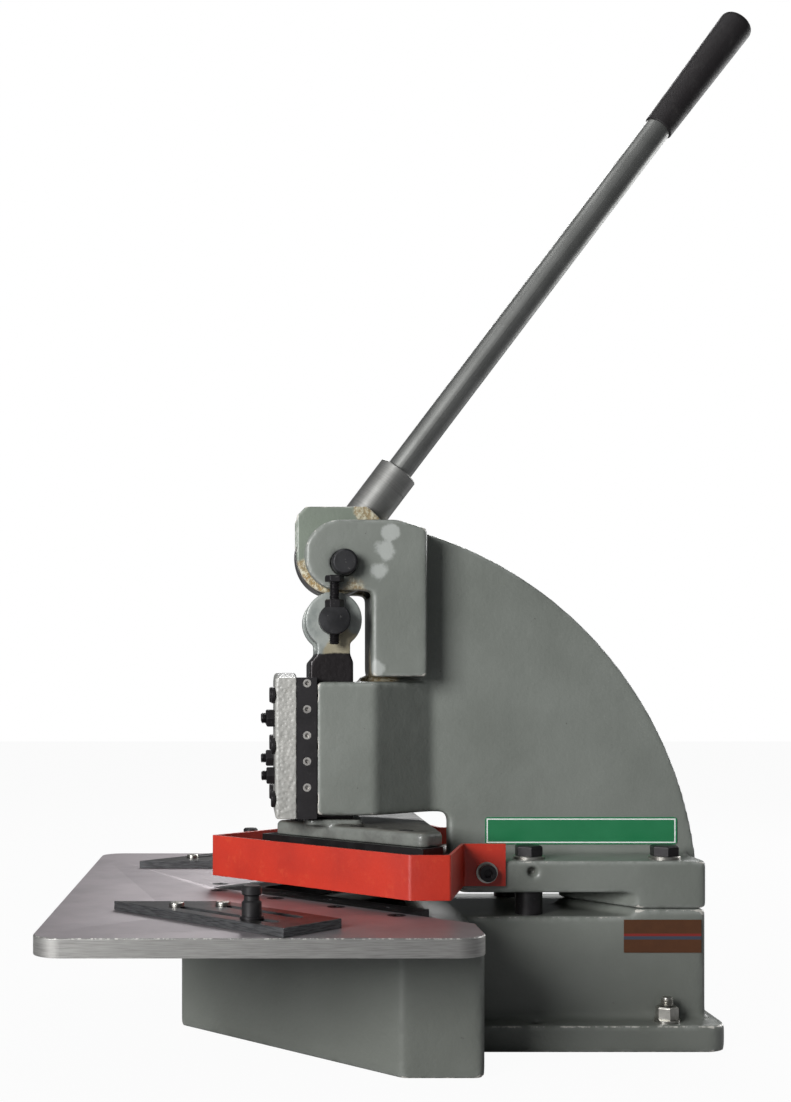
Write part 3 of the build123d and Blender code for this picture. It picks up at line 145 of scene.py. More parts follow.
class Finish:
    """A surface finish: a Principled shader and the nodes that vary it."""

    def __init__(self, name, **constants):
        self.material = bpy.data.materials.new(name)
        self.material.use_nodes = True
        self.tree = self.material.node_tree
        self.shader = self.tree.nodes["Principled BSDF"]
        for key, value in constants.items():
            self.shader.inputs[key.replace("_", " ")].default_value = value
        self.place = self.node("TexCoord", {}, {}, output="Object")

    def node(self, kind, settings, sockets, output=0):
        """Adds a node: its settings first, then the values or wires of its sockets."""
        made = self.tree.nodes.new("ShaderNode" + kind)
        for key, value in settings.items():
            setattr(made, key, value)
        for key, value in sockets.items():
            if isinstance(value, Wire):
                self.tree.links.new(value.socket, made.inputs[key])
            else:
                made.inputs[key].default_value = value
        return Wire(self, made.outputs[output])

    def noise(self, scale, detail=3.0, roughness=0.5, place=None):
        """Cloudy values from 0 to 1; scale is in blobs for each metre."""
        sockets = {"Vector": place or self.place, "Scale": scale}
        sockets.update({"Detail": detail, "Roughness": roughness})
        return self.node("TexNoise", {}, sockets)

    def ramp(self, value, low, high):
        """0 at low, 1 at high, and a smooth step between."""
        settings = {"interpolation_type": "SMOOTHSTEP"}
        return self.node("MapRange", settings, {0: value, 1: low, 2: high})

    def stretched(self, x, y, z):
        """The object's coordinates, multiplied along each axis."""
        return self.node("Mapping", {}, {"Vector": self.place, "Scale": (x, y, z)})

    def mix(self, share, first, second):
        """First colour where share is 0, second where it is 1."""
        return self.node("Mix", {"data_type": "RGBA"}, {0: share, 6: first, 7: second}, output=2)

    def axis(self, name):
        """One of the object's coordinates: X, Y or Z."""
        return self.node("SeparateXYZ", {}, {0: self.place}, output=name)

    def facing(self, name):
        """How far the surface faces along X, Y or Z."""
        normal = self.node("TexCoord", {}, {}, output="Normal")
        return self.node("SeparateXYZ", {}, {0: normal}, output=name)

    def around(self, centre, inner, outer):
        """1 within inner of a point, 0 beyond outer."""
        settings = {"operation": "DISTANCE"}
        distance = self.node("VectorMath", settings, {0: self.place, 1: centre}, output="Value")
        return 1 - self.ramp(distance, inner, outer)

    def edges(self, low, high):
        """1 on the outer edges of a finely meshed piece."""
        return self.ramp(self.node("NewGeometry", {}, {}, output="Pointiness"), low, high)

    def corners(self, low, high):
        """1 in the inner corners of a finely meshed piece."""
        return 1 - self.ramp(self.node("NewGeometry", {}, {}, output="Pointiness"), low, high)

    def feed(self, **wires):
        """Links wires to the shader's sockets."""
        for key, wire in wires.items():
            self.tree.links.new(wire.socket, self.shader.inputs[key.replace("_", " ")])

    def bump(self, height, distance):
        self.feed(Normal=self.node("Bump", {}, {"Height": height, "Distance": distance}))


def enamel(name, colour, dark, peel, grease=(), scuffs=()):
    """Sprayed enamel on iron: cloudy colour, orange peel, chipped edges, painted shade with grime in the
    inner corners, painted shade towards the bottom, and grease.
    """
    paint = Finish(name, Coat_Weight=0.3, Coat_Roughness=0.25, Specular_IOR_Level=0.4)
    clouds = paint.noise(8, 4)
    rubbed = paint.noise(55, 6, 0.65)
    grain = paint.noise(600, 2, 0.6)
    chips = paint.ramp(paint.edges(0.51, 0.56) + paint.noise(110, 5, 0.75) * 1.3, 1.34, 1.42)
    nicks = paint.ramp(paint.noise(95, 5, 0.75), 0.7, 0.72)
    # painted shade: inner corners are darkened where shade would fall, mixed with real grime
    corner_shade_and_grime = paint.ramp(paint.corners(0.42, 0.49) * 0.8 + rubbed * 0.6, 0.5, 1.1)
    edge_rub = paint.edges(0.505, 0.56) * paint.ramp(rubbed, 0.35, 0.6)
    tone = paint.mix(paint.ramp(clouds, 0.3, 0.7), colour, dark)
    tone = paint.mix(grain * 0.22, tone, (0.12, 0.13, 0.115, 1))
    tone = paint.mix(edge_rub * 0.45, tone, (0.5, 0.52, 0.5, 1))
    tone = paint.mix(corner_shade_and_grime * 0.75, tone, (0.05, 0.047, 0.038, 1))
    patches = []
    for spot, size in grease:
        reach = paint.around(spot, size * 0.3, size)
        patches.append(paint.ramp(reach + rubbed * 0.9, 0.8, 1.05))
    stain = paint.node("Clamp", {}, {0: sum(patches) * 0.7})
    lumps = paint.ramp(paint.noise(210, 4, 0.7), 0.42, 0.6)
    brown = paint.mix(lumps, (0.3, 0.2, 0.08, 1), (0.62, 0.57, 0.42, 1))
    tone = paint.mix(stain, tone, brown)
    rubs = []
    for spot, size in scuffs:
        reach = paint.around(spot, 0, size)
        rubs.append(paint.ramp(reach + rubbed * 1.3, 1.05, 1.4))
    rub = paint.node("Clamp", {}, {0: sum(rubs)})
    tone = paint.mix(rub * 0.6, tone, (0.46, 0.48, 0.46, 1))
    # painted shade: the enamel is darker towards the bottom, standing in for light that falls off lower down
    low = 1 - paint.ramp(paint.axis("Z"), 0.02, 0.2)
    tone = paint.mix(low * 0.3, tone, (0.08, 0.08, 0.07, 1))
    tone = paint.mix(chips * 0.85, tone, (0.6, 0.58, 0.53, 1))
    tone = paint.mix(nicks * 0.7, tone, (0.07, 0.06, 0.05, 1))
    paint.feed(
        Base_Color=tone,
        Roughness=0.4 + clouds * 0.12 + corner_shade_and_grime * 0.2 - chips * 0.1 - stain * 0.15,
    )
    skin = paint.noise(260, 2, 0.5) * 0.5 + paint.noise(45, 2, 0.4) * 1.4
    skin = skin - chips * 0.35 - nicks * 0.4
    paint.bump(skin + stain * lumps * 0.8, peel)
    return paint


def copy_node(node, name):
    """A copy of a CAD piece with its triangles joined up, alone in the selection."""
    bpy.ops.object.select_all(action="DESELECT")
    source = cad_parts[node]
    piece = source.copy()
    piece.data = source.data.copy()
    piece.name = name
    piece.parent = None
    for key in list(piece.keys()):
        del piece[key]
    bpy.context.collection.objects.link(piece)
    bpy.context.view_layer.objects.active = piece
    piece.select_set(True)
    piece.data.materials.clear()
    bpy.ops.object.mode_set(mode="EDIT")
    bpy.ops.mesh.select_all(action="SELECT")
    bpy.ops.mesh.remove_doubles(threshold=0.00001)
    bpy.ops.object.mode_set(mode="OBJECT")
    return piece


def apply_modifier(piece, name, kind, **settings):
    modifier = piece.modifiers.new(name, kind)
    for key, value in settings.items():
        setattr(modifier, key, value)
    bpy.ops.object.modifier_apply(modifier=modifier.name)


def hand_over(piece, node, body, finish):
    """Gives a finished piece its finish and puts it in the place of its CAD node."""
    piece.data.materials.clear()
    piece.data.materials.append(finish.material)
    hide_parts(node)
    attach(piece, body)


def sand_cast(node, name, grain, softening):
    """A CAD casting with the rounded edges and corners that come out of a sand mould."""
    piece = copy_node(node, name)
    apply_modifier(piece, "skin", "REMESH", mode="VOXEL", voxel_size=grain, adaptivity=0)
    apply_modifier(piece, "soften", "SMOOTH", factor=0.5, iterations=softening)
    bpy.ops.object.shade_smooth()
    return piece


casting_light = (0.2, 0.215, 0.195, 1)
casting_dark = (0.155, 0.168, 0.15, 1)
base_paint = enamel("base_enamel", casting_light, casting_dark, peel=0.0005)
base = sand_cast("base_casting", "base_cast_body", grain=0.003, softening=7)
hand_over(base, "base_casting", "frame", base_paint)

# ---------------------------------------------------------------- bench fixings
# Zinc-plated studs, washers and nuts that hold the foot's rear corners to the bench; the studs'
# ends stand out of the nuts with a rolled thread and a rounded tip.


def steel(name, colour, dull, roughness, metallic, grain, wear=0.0, ridges=0.00005):
    """Machined steel: fine grain along one axis, cloudy oil marks and light wear."""
    metal = Finish(name)
    metal.shader.inputs["Metallic"].default_value = metallic
    streaks = metal.noise(1, 3, 0.6, place=metal.stretched(*grain))
    clouds = metal.noise(38, 5, 0.6)
    worn = metal.ramp(metal.noise(170, 5, 0.7), 0.6, 0.7)
    tone = metal.mix(metal.ramp(clouds, 0.35, 0.7), colour, dull)
    tone = metal.mix(metal.ramp(streaks, 0.3, 0.8) * 0.25, tone, (0.02, 0.02, 0.02, 1))
    tone = metal.mix(worn * wear, tone, (0.45, 0.44, 0.42, 1))
    metal.feed(Base_Color=tone, Roughness=roughness + streaks * 0.14 + clouds * 0.14)
    metal.bump(streaks, ridges)
    return metal


def dress(node, finish, crease=35):
    """Gives a CAD piece its finish and smooths its round faces."""
    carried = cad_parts[node]
    bpy.ops.object.select_all(action="DESELECT")
    carried.select_set(True)
    bpy.context.view_layer.objects.active = carried
    carried.data.materials.clear()
    carried.data.materials.append(finish.material)
    bpy.ops.object.shade_smooth_by_angle(angle=math.radians(crease))


def break_edges(piece, width, crease):
    """Rounds the edges that are sharper than the crease angle."""
    angle = math.radians(crease)
    limits = {"limit_method": "ANGLE", "angle_limit": angle, "use_clamp_overlap": True}
    apply_modifier(piece, "ease", "BEVEL", width=width, segments=2, harden_normals=True, **limits)


def eased(node, name, width, crease=30):
    """A CAD piece of machined metal with its sharp edges broken by a small round."""
    piece = copy_node(node, name)
    bpy.ops.object.mode_set(mode="EDIT")
    bpy.ops.mesh.select_all(action="SELECT")
    bpy.ops.mesh.dissolve_limited(angle_limit=math.radians(0.5))
    bpy.ops.object.mode_set(mode="OBJECT")
    bpy.ops.object.shade_smooth_by_angle(angle=math.radians(crease))
    break_edges(piece, width, crease)
    return piece


def hand_over_eased(node, width, body, finish):
    """Eases a CAD piece's edges and puts it in its own place."""
    hand_over(eased(node, f"eased_{node}", width), node, body, finish)


def thread(name, foot, direction, radius, length, pitch):
    """A rolled thread: a three-cornered ridge wound round a plain core, with a rounded end."""
    bpy.ops.object.select_all(action="DESELECT")
    depth = 0.6 * pitch
    turns = round(length / pitch) - 1
    bpy.ops.mesh.primitive_circle_add(vertices=3, radius=pitch / math.sqrt(3), fill_type="NGON")
    ridge = bpy.context.object
    ridge.name = name
    outward = Matrix(((0, depth / (pitch * math.sqrt(0.75)), 0), (0, 0, 1), (1, 0, 0))).to_4x4()
    ridge.data.transform(Matrix.Translation((radius - depth * 2 / 3, 0, pitch / 2)) @ outward)
    winding = {"angle": math.tau, "screw_offset": pitch, "iterations": turns}
    winding.update({"steps": 24, "render_steps": 24, "axis": "Z", "use_merge_vertices": True})
    apply_modifier(ridge, "winding", "SCREW", **winding)
    bpy.ops.object.mode_set(mode="EDIT")
    bpy.ops.mesh.select_all(action="SELECT")
    bpy.ops.mesh.remove_doubles(threshold=0.000001)
    bpy.ops.mesh.normals_make_consistent(inside=False)
    bpy.ops.object.mode_set(mode="OBJECT")
    bpy.ops.mesh.primitive_cylinder_add(
        vertices=32, radius=radius - depth * 0.95, depth=length, location=(0, 0, length / 2)
    )
    core = bpy.context.object
    apply_modifier(core, "tip", "BEVEL", width=radius * 0.2, segments=3, limit_method="ANGLE")
    ridge.select_set(True)
    bpy.context.view_layer.objects.active = ridge
    bpy.ops.object.transform_apply(location=True, rotation=True, scale=True)
    bpy.ops.object.join()
    turn = Vector(direction).to_track_quat("Z", "Y").to_matrix().to_4x4()
    ridge.data.transform(Matrix.Translation(foot) @ turn)
    bpy.ops.object.shade_smooth_by_angle(angle=math.radians(30))
    return ridge


def cut_back(piece, place, normal):
    """Cuts off what stands in front of a plane and closes the cut."""
    bpy.ops.object.select_all(action="DESELECT")
    piece.select_set(True)
    bpy.context.view_layer.objects.active = piece
    bpy.ops.object.mode_set(mode="EDIT")
    bpy.ops.mesh.select_all(action="SELECT")
    bpy.ops.mesh.bisect(plane_co=place, plane_no=normal, clear_outer=True, use_fill=True)
    bpy.ops.object.mode_set(mode="OBJECT")


def join_up(pieces):
    """One piece from several, named after the first."""
    bpy.ops.object.select_all(action="DESELECT")
    for part in pieces:
        part.select_set(True)
    bpy.context.view_layer.objects.active = pieces[0]
    bpy.ops.object.join()
    return pieces[0]


zinc_colours = ((0.55, 0.54, 0.5, 1), (0.36, 0.35, 0.32, 1))
zinc_grain = (260, 260, 260)
zinc = steel("zinc_plate", *zinc_colours, roughness=0.2, metallic=1.0, grain=zinc_grain, wear=0.3)
m12_pitch = 0.00175
start_in_nut = 0.001
_, nut_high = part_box("foot_nuts")
stud_low, stud_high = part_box("foot_studs")
stud_radius = (stud_high.y - stud_low.y) / 2
stud_y = stud_low.y + stud_radius
thread_z = nut_high.z - start_in_nut
studs = copy_node("foot_studs", "threaded_foot_studs")
cut_back(studs, (0, 0, thread_z), (0, 0, 1))
stud_ends = [studs]
for stud_x in (stud_low.x + stud_radius, stud_high.x - stud_radius):
    stud_foot = (stud_x, stud_y, thread_z)
    stud_length = stud_high.z - thread_z
    end = thread("stud_thread", stud_foot, (0, 0, 1), stud_radius, stud_length, m12_pitch)
    stud_ends.append(end)
hand_over(join_up(stud_ends), "foot_studs", "frame", zinc)
dress("foot_washers", zinc)
hand_over_eased("foot_nuts", 0.0003, "frame", zinc)

# ---------------------------------------------------------------- table
# A 16 mm steel plate, surface ground on top, with milled and filed edges that are bright and
# nicked by sheet metal; four countersunk screws on each side and the two lower blades are let in.

_, table_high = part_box("table_plate")
ground = Finish("ground_table", Metallic=0.85)
grinding = ground.noise(1, 4, 0.65, place=ground.stretched(900, 22, 900))
brushing = ground.noise(1, 3, 0.6, place=ground.stretched(40, 40, 1400))
smears = ground.noise(11, 5, 0.6)
scratches = ground.ramp(ground.noise(1, 5, 0.75, place=ground.stretched(60, 400, 60)), 0.66, 0.7)
flat_top = ground.ramp(ground.facing("Z"), 0.7, 0.95)
rim = ground.ramp(ground.axis("Z"), table_high.z - 0.0014, table_high.z - 0.0003) * (1 - flat_top)
rim_nicks = ground.ramp(ground.noise(260, 4, 0.7), 0.5, 0.6)
smeared = ground.ramp(smears, 0.35, 0.7)
top_tone = ground.mix(smeared, (0.38, 0.345, 0.36, 1), (0.29, 0.262, 0.276, 1))
top_tone = ground.mix(scratches * 0.3, top_tone, (0.4, 0.39, 0.39, 1))
brushed = ground.ramp(brushing, 0.3, 0.75)
side_tone = ground.mix(brushed, (0.4, 0.395, 0.38, 1), (0.27, 0.265, 0.255, 1))
plate_tone = ground.mix(flat_top, side_tone, top_tone)
plate_tone = ground.mix(rim * rim_nicks * 0.9, plate_tone, (0.85, 0.84, 0.8, 1))
ground.feed(
    Base_Color=plate_tone,
    Roughness=0.33 + grinding * 0.12 + smears * 0.12 + (1 - flat_top) * 0.04,
)
ground.bump(grinding * flat_top + brushing * (1 - flat_top) - rim * rim_nicks * 2.0, 0.00005)
table = eased("table_plate", "ground_table_plate", 0.0005)
hand_over(table, "table_plate", "frame", ground)

black_colours = ((0.024, 0.022, 0.024, 1), (0.012, 0.011, 0.012, 1))
oxide_grain = (300, 300, 300)
oxide = steel("black_oxide", *black_colours, roughness=0.26, metallic=0.5, grain=oxide_grain, wear=0.12)
blade_colours = ((0.05, 0.048, 0.05, 1), (0.022, 0.021, 0.022, 1))
blade_grain = (90, 90, 700)
blade_steel = steel("blade_steel", *blade_colours, roughness=0.22, metallic=0.8, grain=blade_grain, wear=0.1)
dress("table_screws", oxide)
for side in ("right", "left"):
    blade = eased(f"lower_blade_{side}", f"lower_blade_{side}_ground", 0.0002)
    hand_over(blade, f"lower_blade_{side}", "frame", blade_steel)
dress("lower_blade_screws", oxide)

# ---------------------------------------------------------------- frame casting
# The C-shaped upper casting: foot block, thin web, ram housing and the two ears of the lever's
# pivot, poured in one piece and painted like the base; greasy and scuffed round the pivot.

ear_grease = (
    ((0.03, -0.168, 0.432), 0.03),
    ((-0.03, -0.168, 0.432), 0.03),
    ((0.0, -0.14, 0.5), 0.035),
    ((0.0, -0.15, 0.35), 0.05),
)
ear_scuffs = (
    ((0.048, -0.13, 0.487), 0.018),
    ((0.048, -0.135, 0.47), 0.02),
    ((0.048, -0.142, 0.45), 0.018),
    ((0.048, -0.146, 0.353), 0.02),
)
frame_paint = enamel(
    "frame_enamel", casting_light, casting_dark, peel=0.0005, grease=ear_grease, scuffs=ear_scuffs
)
frame_cast = sand_cast("frame_casting", "frame_cast_body", grain=0.0024, softening=14)
hand_over(frame_cast, "frame_casting", "frame", frame_paint)

# ---------------------------------------------------------------- frame bolts
# Four black M16 hexagon bolts with bright washers; the front two pass through black spacers in
# the slot where the sheet goes.

hand_over_eased("frame_bolts", 0.0004, "frame", oxide)
dress("frame_washers", zinc)
dress("frame_spacers", oxide)

# ---------------------------------------------------------------- ram guides
# Black ground side strips with five set screws each, an inner gib plate, and a cast cover in
# light grey paint that has dried with a hammered surface. Lock nuts hold the adjusting screws.

strip_grain = (80, 80, 900)
strip_steel = steel("strip_steel", *black_colours, roughness=0.3, metallic=0.4, grain=strip_grain, wear=0.06)
for node in ("gib_side_strips", "gib_plate"):
    hand_over_eased(node, 0.0004, "frame", strip_steel)
worn_colours = ((0.6, 0.58, 0.55, 1), (0.25, 0.24, 0.23, 1))
worn_grain = (400, 400, 400)
worn_screw = steel("worn_screw", *worn_colours, roughness=0.28, metallic=0.8, grain=worn_grain, wear=0.8)
dress("gib_strip_screws", worn_screw)

hammered = Finish("hammered_grey", Coat_Weight=0.5, Coat_Roughness=0.12)
dimple_sockets = {"Vector": hammered.place, "Scale": 260}
dimples = hammered.node("TexVoronoi", {"feature": "SMOOTH_F1"}, dimple_sockets)
cloudy = hammered.noise(30, 4)
dirt = hammered.ramp(hammered.noise(70, 6, 0.7), 0.56, 0.72)
cover_cloud = hammered.ramp(cloudy, 0.3, 0.7)
cover_tone = hammered.mix(cover_cloud, (0.42, 0.415, 0.39, 1), (0.32, 0.32, 0.3, 1))
cover_tone = hammered.mix(dirt * 0.5, cover_tone, (0.16, 0.15, 0.12, 1))
cover_edge = hammered.edges(0.53, 0.6) + hammered.noise(160, 4, 0.7) * 1.1
cover_chips = hammered.ramp(cover_edge, 1.15, 1.25)
cover_tone = hammered.mix(cover_chips * 0.8, cover_tone, (0.1, 0.09, 0.08, 1))
hammered.feed(Base_Color=cover_tone, Roughness=0.3 + cloudy * 0.15)
hammered.bump(dimples + cloudy * 0.3, 0.0011)
cover = sand_cast("gib_cover", "cover_cast_body", grain=0.0012, softening=4)
hand_over(cover, "gib_cover", "frame", hammered)

for node in ("gib_bolts", "gib_lock_nuts"):
    hand_over_eased(node, 0.0003, "frame", oxide)
nuts_low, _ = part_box("gib_lock_nuts")
rods_low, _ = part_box("gib_adjusters")
rod_places = ((0.025, 0.307), (-0.025, 0.307), (0.025, 0.251), (-0.025, 0.266))
m10_radius = 0.005
m10_pitch = 0.0015
thread_y = nuts_low.y + start_in_nut
rod_length = thread_y - rods_low.y
rods = copy_node("gib_adjusters", "threaded_adjusters")
cut_back(rods, (0, thread_y, 0), (0, -1, 0))
rod_ends = [rods]
for rod_x, rod_z in rod_places:
    rod_foot = (rod_x, thread_y, rod_z)
    end = thread("rod_thread", rod_foot, (0, -1, 0), m10_radius, rod_length, m10_pitch)
    rod_ends.append(end)
hand_over(join_up(rod_ends), "gib_adjusters", "frame", oxide)

# ---------------------------------------------------------------- ram
# A machined steel slide with a forked head: black where it runs in its guides, painted glossy
# light grey round the eyes of the roller pin, with grease at the neck.

ram_finish = Finish("ram_finish", Coat_Weight=0.3, Coat_Roughness=0.12)
ram_clouds = ram_finish.noise(40, 5, 0.6)
above_neck = ram_finish.ramp(ram_finish.axis("Z") + ram_clouds * 0.004, 0.3715, 0.3735)
clouded = ram_finish.ramp(ram_clouds, 0.35, 0.65)
painted = ram_finish.mix(clouded, (0.3, 0.32, 0.3, 1), (0.19, 0.21, 0.2, 1))
near_neck = ram_finish.around((0.04, -0.175, 0.375), 0.008, 0.03)
neck_grease = ram_finish.ramp(near_neck + ram_clouds, 0.85, 1.1)
painted = ram_finish.mix(neck_grease * 0.6, painted, (0.3, 0.24, 0.12, 1))
eye_edge = ram_finish.edges(0.52, 0.58) + ram_finish.noise(150, 4, 0.7)
eye_chips = ram_finish.ramp(eye_edge, 1.12, 1.22)
painted = ram_finish.mix(eye_chips * 0.8, painted, (0.75, 0.75, 0.7, 1))
oiled = ram_finish.mix(eye_chips * 0.15, (0.02, 0.017, 0.018, 1), (0.3, 0.3, 0.29, 1))
ram_finish.feed(
    Base_Color=ram_finish.mix(above_neck, oiled, painted),
    Roughness=0.3 + ram_clouds * 0.2,
    Metallic=0.6 - above_neck * 0.6,
)
ram_finish.bump(ram_finish.noise(200, 2) + ram_clouds, 0.0003)
slide = sand_cast("ram", "forked_ram", grain=0.0015, softening=2)
hand_over(slide, "ram", "ram", ram_finish)
spring_colours = ((0.16, 0.15, 0.14, 1), (0.08, 0.075, 0.07, 1))
spring_grain = (200, 200, 200)
spring_steel = steel("spring_steel", *spring_colours, roughness=0.25, metallic=1.0, grain=spring_grain)
dress("return_spring", spring_steel)

# ---------------------------------------------------------------- shoe and upper blades
# The cast shoe under the ram, painted round its rim and dark on top with painted shade, grease and dust, and
# the two hardened blades that it carries, with their cap screws.

shoe_paint = Finish("shoe_grease_and_painted_shade", Coat_Weight=0.35, Coat_Roughness=0.2)
shoe_clouds = shoe_paint.noise(40, 5, 0.65)
upward = shoe_paint.ramp(shoe_paint.facing("Z"), 0.55, 0.95)
dusty = shoe_paint.ramp(shoe_clouds, 0.38, 0.66)
rim_tone = shoe_paint.mix(dusty, (0.17, 0.18, 0.165, 1), (0.11, 0.115, 0.105, 1))
# painted shade and grease: faces that look upward are made dark
top_shade_and_grease = shoe_paint.mix(dusty, (0.055, 0.052, 0.045, 1), (0.13, 0.125, 0.11, 1))
shoe_paint.feed(
    Base_Color=shoe_paint.mix(upward * 0.92, rim_tone, top_shade_and_grease),
    Roughness=0.32 + dusty * 0.2,
)
shoe_paint.bump(shoe_paint.noise(180, 3) + shoe_clouds, 0.0005)
shoe = sand_cast("ram_shoe", "shoe_cast_body", grain=0.0016, softening=3)
hand_over(shoe, "ram_shoe", "ram", shoe_paint)
for side in ("right", "left"):
    blade = eased(f"upper_blade_{side}", f"upper_blade_{side}_ground", 0.0002)
    hand_over(blade, f"upper_blade_{side}", "ram", blade_steel)
dress("upper_blade_screws", oxide)
dress("shoe_screws", oxide)

# ---------------------------------------------------------------- roller and stop bolt
# The hardened roller with its bronze bush, the blackened pin that carries it, and the M10 stop
# bolt and nut in the pin's cross hole.

turned_colours = ((0.32, 0.31, 0.3, 1), (0.2, 0.19, 0.18, 1))
turned = steel("turned_steel", *turned_colours, roughness=0.18, metallic=1.0, grain=(800, 30, 30))
bronze_colours = ((0.5, 0.3, 0.11, 1), (0.36, 0.2, 0.08, 1))
bronze = steel("bearing_bronze", *bronze_colours, roughness=0.25, metallic=1.0, grain=(600, 30, 30))
pin_colours = ((0.055, 0.055, 0.058, 1), (0.028, 0.028, 0.03, 1))
pin_grain = (120, 120, 120)
pin_steel = steel("pin_steel", *pin_colours, roughness=0.3, metallic=0.7, grain=pin_grain, wear=0.3)
dress("roller", turned)
dress("roller_bush", bronze)
hand_over_eased("roller_pin", 0.0004, "ram", pin_steel)
bolt_low, bolt_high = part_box("stop_bolt")
bolt_x = (bolt_low.x + bolt_high.x) / 2
bolt_y = (bolt_low.y + bolt_high.y) / 2
head_height = 0.0064
plain_neck = 0.0005
bolt_head = eased("stop_bolt", "threaded_stop_bolt", 0.0003)
cut_back(bolt_head, (0, 0, bolt_high.z - head_height - plain_neck), (0, 0, -1))
shank_foot = (bolt_x, bolt_y, bolt_high.z - head_height)
shank_length = shank_foot[2] - bolt_low.z
shank = thread("stop_bolt_thread", shank_foot, (0, 0, -1), m10_radius, shank_length, m10_pitch)
hand_over(join_up([bolt_head, shank]), "stop_bolt", "ram", oxide)
hand_over_eased("stop_nut", 0.0003, "ram", oxide)

# ---------------------------------------------------------------- pivot
# The blackened steel pin through the ears and the bronze bush pressed into the lever's hub.

hand_over_eased("pivot_pin", 0.0004, "frame", pin_steel)
dress("pivot_bush", bronze)

# ---------------------------------------------------------------- hub
# Two iron cheek plates, painted with the castings, and the hardened cam block between them. Their
# lower edges are greasy and rubbed bare where they pass the roller.

hub_grease = (
    ((0.025, -0.19, 0.425), 0.05),
    ((-0.025, -0.19, 0.425), 0.05),
    ((0.028, -0.15, 0.512), 0.022),
    ((0.028, -0.215, 0.44), 0.035),
)
hub_colours = ((0.2, 0.235, 0.19, 1), (0.155, 0.18, 0.148, 1))
hub_paint = enamel("hub_enamel", *hub_colours, peel=0.0006, grease=hub_grease)
for side in ("right", "left"):
    cheek = sand_cast(f"hub_cheek_{side}", f"hub_cheek_{side}_cast", grain=0.0012, softening=3)
    hand_over(cheek, f"hub_cheek_{side}", "lever", hub_paint)
hand_over_eased("cam_block", 0.0004, "lever", turned)

# ---------------------------------------------------------------- lever
# A turned collar welded into the hub and a steel tube let into it, both satin grey from handling.

lever_tilt = math.radians(52.9)


def lever_steel(name, colour, dull, along, across):
    """Satin steel whose grain runs with the lever."""
    satin = Finish(name, Metallic=0.85)
    sockets = {
        "Vector": satin.place,
        "Rotation": (lever_tilt - math.pi / 2, 0, 0),
        "Scale": (1 / across, 1 / across, 1 / along),
    }
    upright = satin.node("Mapping", {"vector_type": "TEXTURE"}, sockets)
    lines = satin.noise(1, 4, 0.6, place=upright)
    blotches = satin.noise(26, 5, 0.6)
    rust = satin.ramp(satin.noise(140, 5, 0.75), 0.66, 0.74)
    tone = satin.mix(satin.ramp(blotches, 0.35, 0.7), colour, dull)
    tone = satin.mix(satin.ramp(lines, 0.3, 0.8) * 0.3, tone, (0.1, 0.1, 0.1, 1))
    tone = satin.mix(rust * 0.25, tone, (0.12, 0.08, 0.05, 1))
    satin.feed(Base_Color=tone, Roughness=0.34 + lines * 0.12 + blotches * 0.12)
    satin.bump(lines, 0.00004)
    return satin


tube_colours = ((0.26, 0.264, 0.255, 1), (0.2, 0.204, 0.196, 1))
collar_colours = ((0.34, 0.34, 0.33, 1), (0.25, 0.25, 0.24, 1))
tube_steel = lever_steel("tube_steel", *tube_colours, along=14, across=500)
collar_steel = lever_steel("collar_steel", *collar_colours, along=1500, across=10)
dress("collar", collar_steel)
dress("lever_tube", tube_steel)

# ---------------------------------------------------------------- grip
# A moulded black rubber sleeve, a little thicker towards its rounded end.

rubber = Finish("grip_rubber", Specular_IOR_Level=0.35)
dust = rubber.ramp(rubber.noise(60, 5, 0.6), 0.5, 0.8)
rubber.feed(
    Base_Color=rubber.mix(dust * 0.5, (0.016, 0.014, 0.015, 1), (0.04, 0.038, 0.037, 1)),
    Roughness=0.55 + dust * 0.25,
)
rubber.bump(rubber.noise(900, 2) + rubber.noise(120, 2) * 0.6, 0.00025)
dress("grip", rubber, crease=50)

# ---------------------------------------------------------------- blade guard
# A strip of 3 mm sheet folded round the blades and screwed to the frame, in red-orange enamel
# that is rubbed thin in patches.

guard_low, guard_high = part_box("blade_guard")
guard_red = Finish("guard_red", Coat_Weight=0.2, Coat_Roughness=0.3)
red_clouds = guard_red.noise(14, 4)
red_rub = guard_red.ramp(guard_red.noise(90, 5, 0.7), 0.55, 0.7)
red_share = guard_red.ramp(red_clouds, 0.35, 0.7)
red_tone = guard_red.mix(red_share, (0.47, 0.026, 0.01, 1), (0.36, 0.018, 0.008, 1))
red_tone = guard_red.mix(red_rub * 0.12, red_tone, (0.75, 0.16, 0.06, 1))
guard_red.feed(Base_Color=red_tone, Roughness=0.36 + red_clouds * 0.14)
guard_red.bump(guard_red.noise(330, 2) + guard_red.noise(30, 3) * 0.8, 0.00018)
guard = copy_node("blade_guard", "folded_guard")
bpy.ops.object.mode_set(mode="EDIT")
bpy.ops.mesh.select_mode(type="EDGE")
bpy.ops.mesh.select_all(action="SELECT")
bpy.ops.mesh.dissolve_limited(angle_limit=math.radians(0.5))
bpy.ops.mesh.select_all(action="DESELECT")
bpy.ops.object.mode_set(mode="OBJECT")
tall = (guard_high.z - guard_low.z) * 0.9
tip_reach = 0.002
fold_radius = 0.0022
for edge in guard.data.edges:
    ends = [guard.data.vertices[index].co for index in edge.vertices]
    at_tip = ends[0].y > guard_high.y - tip_reach
    edge.select = abs(ends[0].z - ends[1].z) > tall and not at_tip
bpy.ops.object.mode_set(mode="EDIT")
bpy.ops.mesh.bevel(offset=fold_radius, segments=5)
bpy.ops.mesh.select_mode(type="VERT")
bpy.ops.object.mode_set(mode="OBJECT")
bpy.ops.object.shade_smooth_by_angle(angle=math.radians(30))
break_edges(guard, 0.0005, crease=40)
hand_over(guard, "blade_guard", "frame", guard_red)
dress("guard_washers", zinc)
hand_over_eased("guard_screws", 0.0004, "frame", oxide)

# ---------------------------------------------------------------- fences
# Two flat dark steel fences with slots for their clamp screws, small bright button screws, and
# blackened knobs with a turned head.

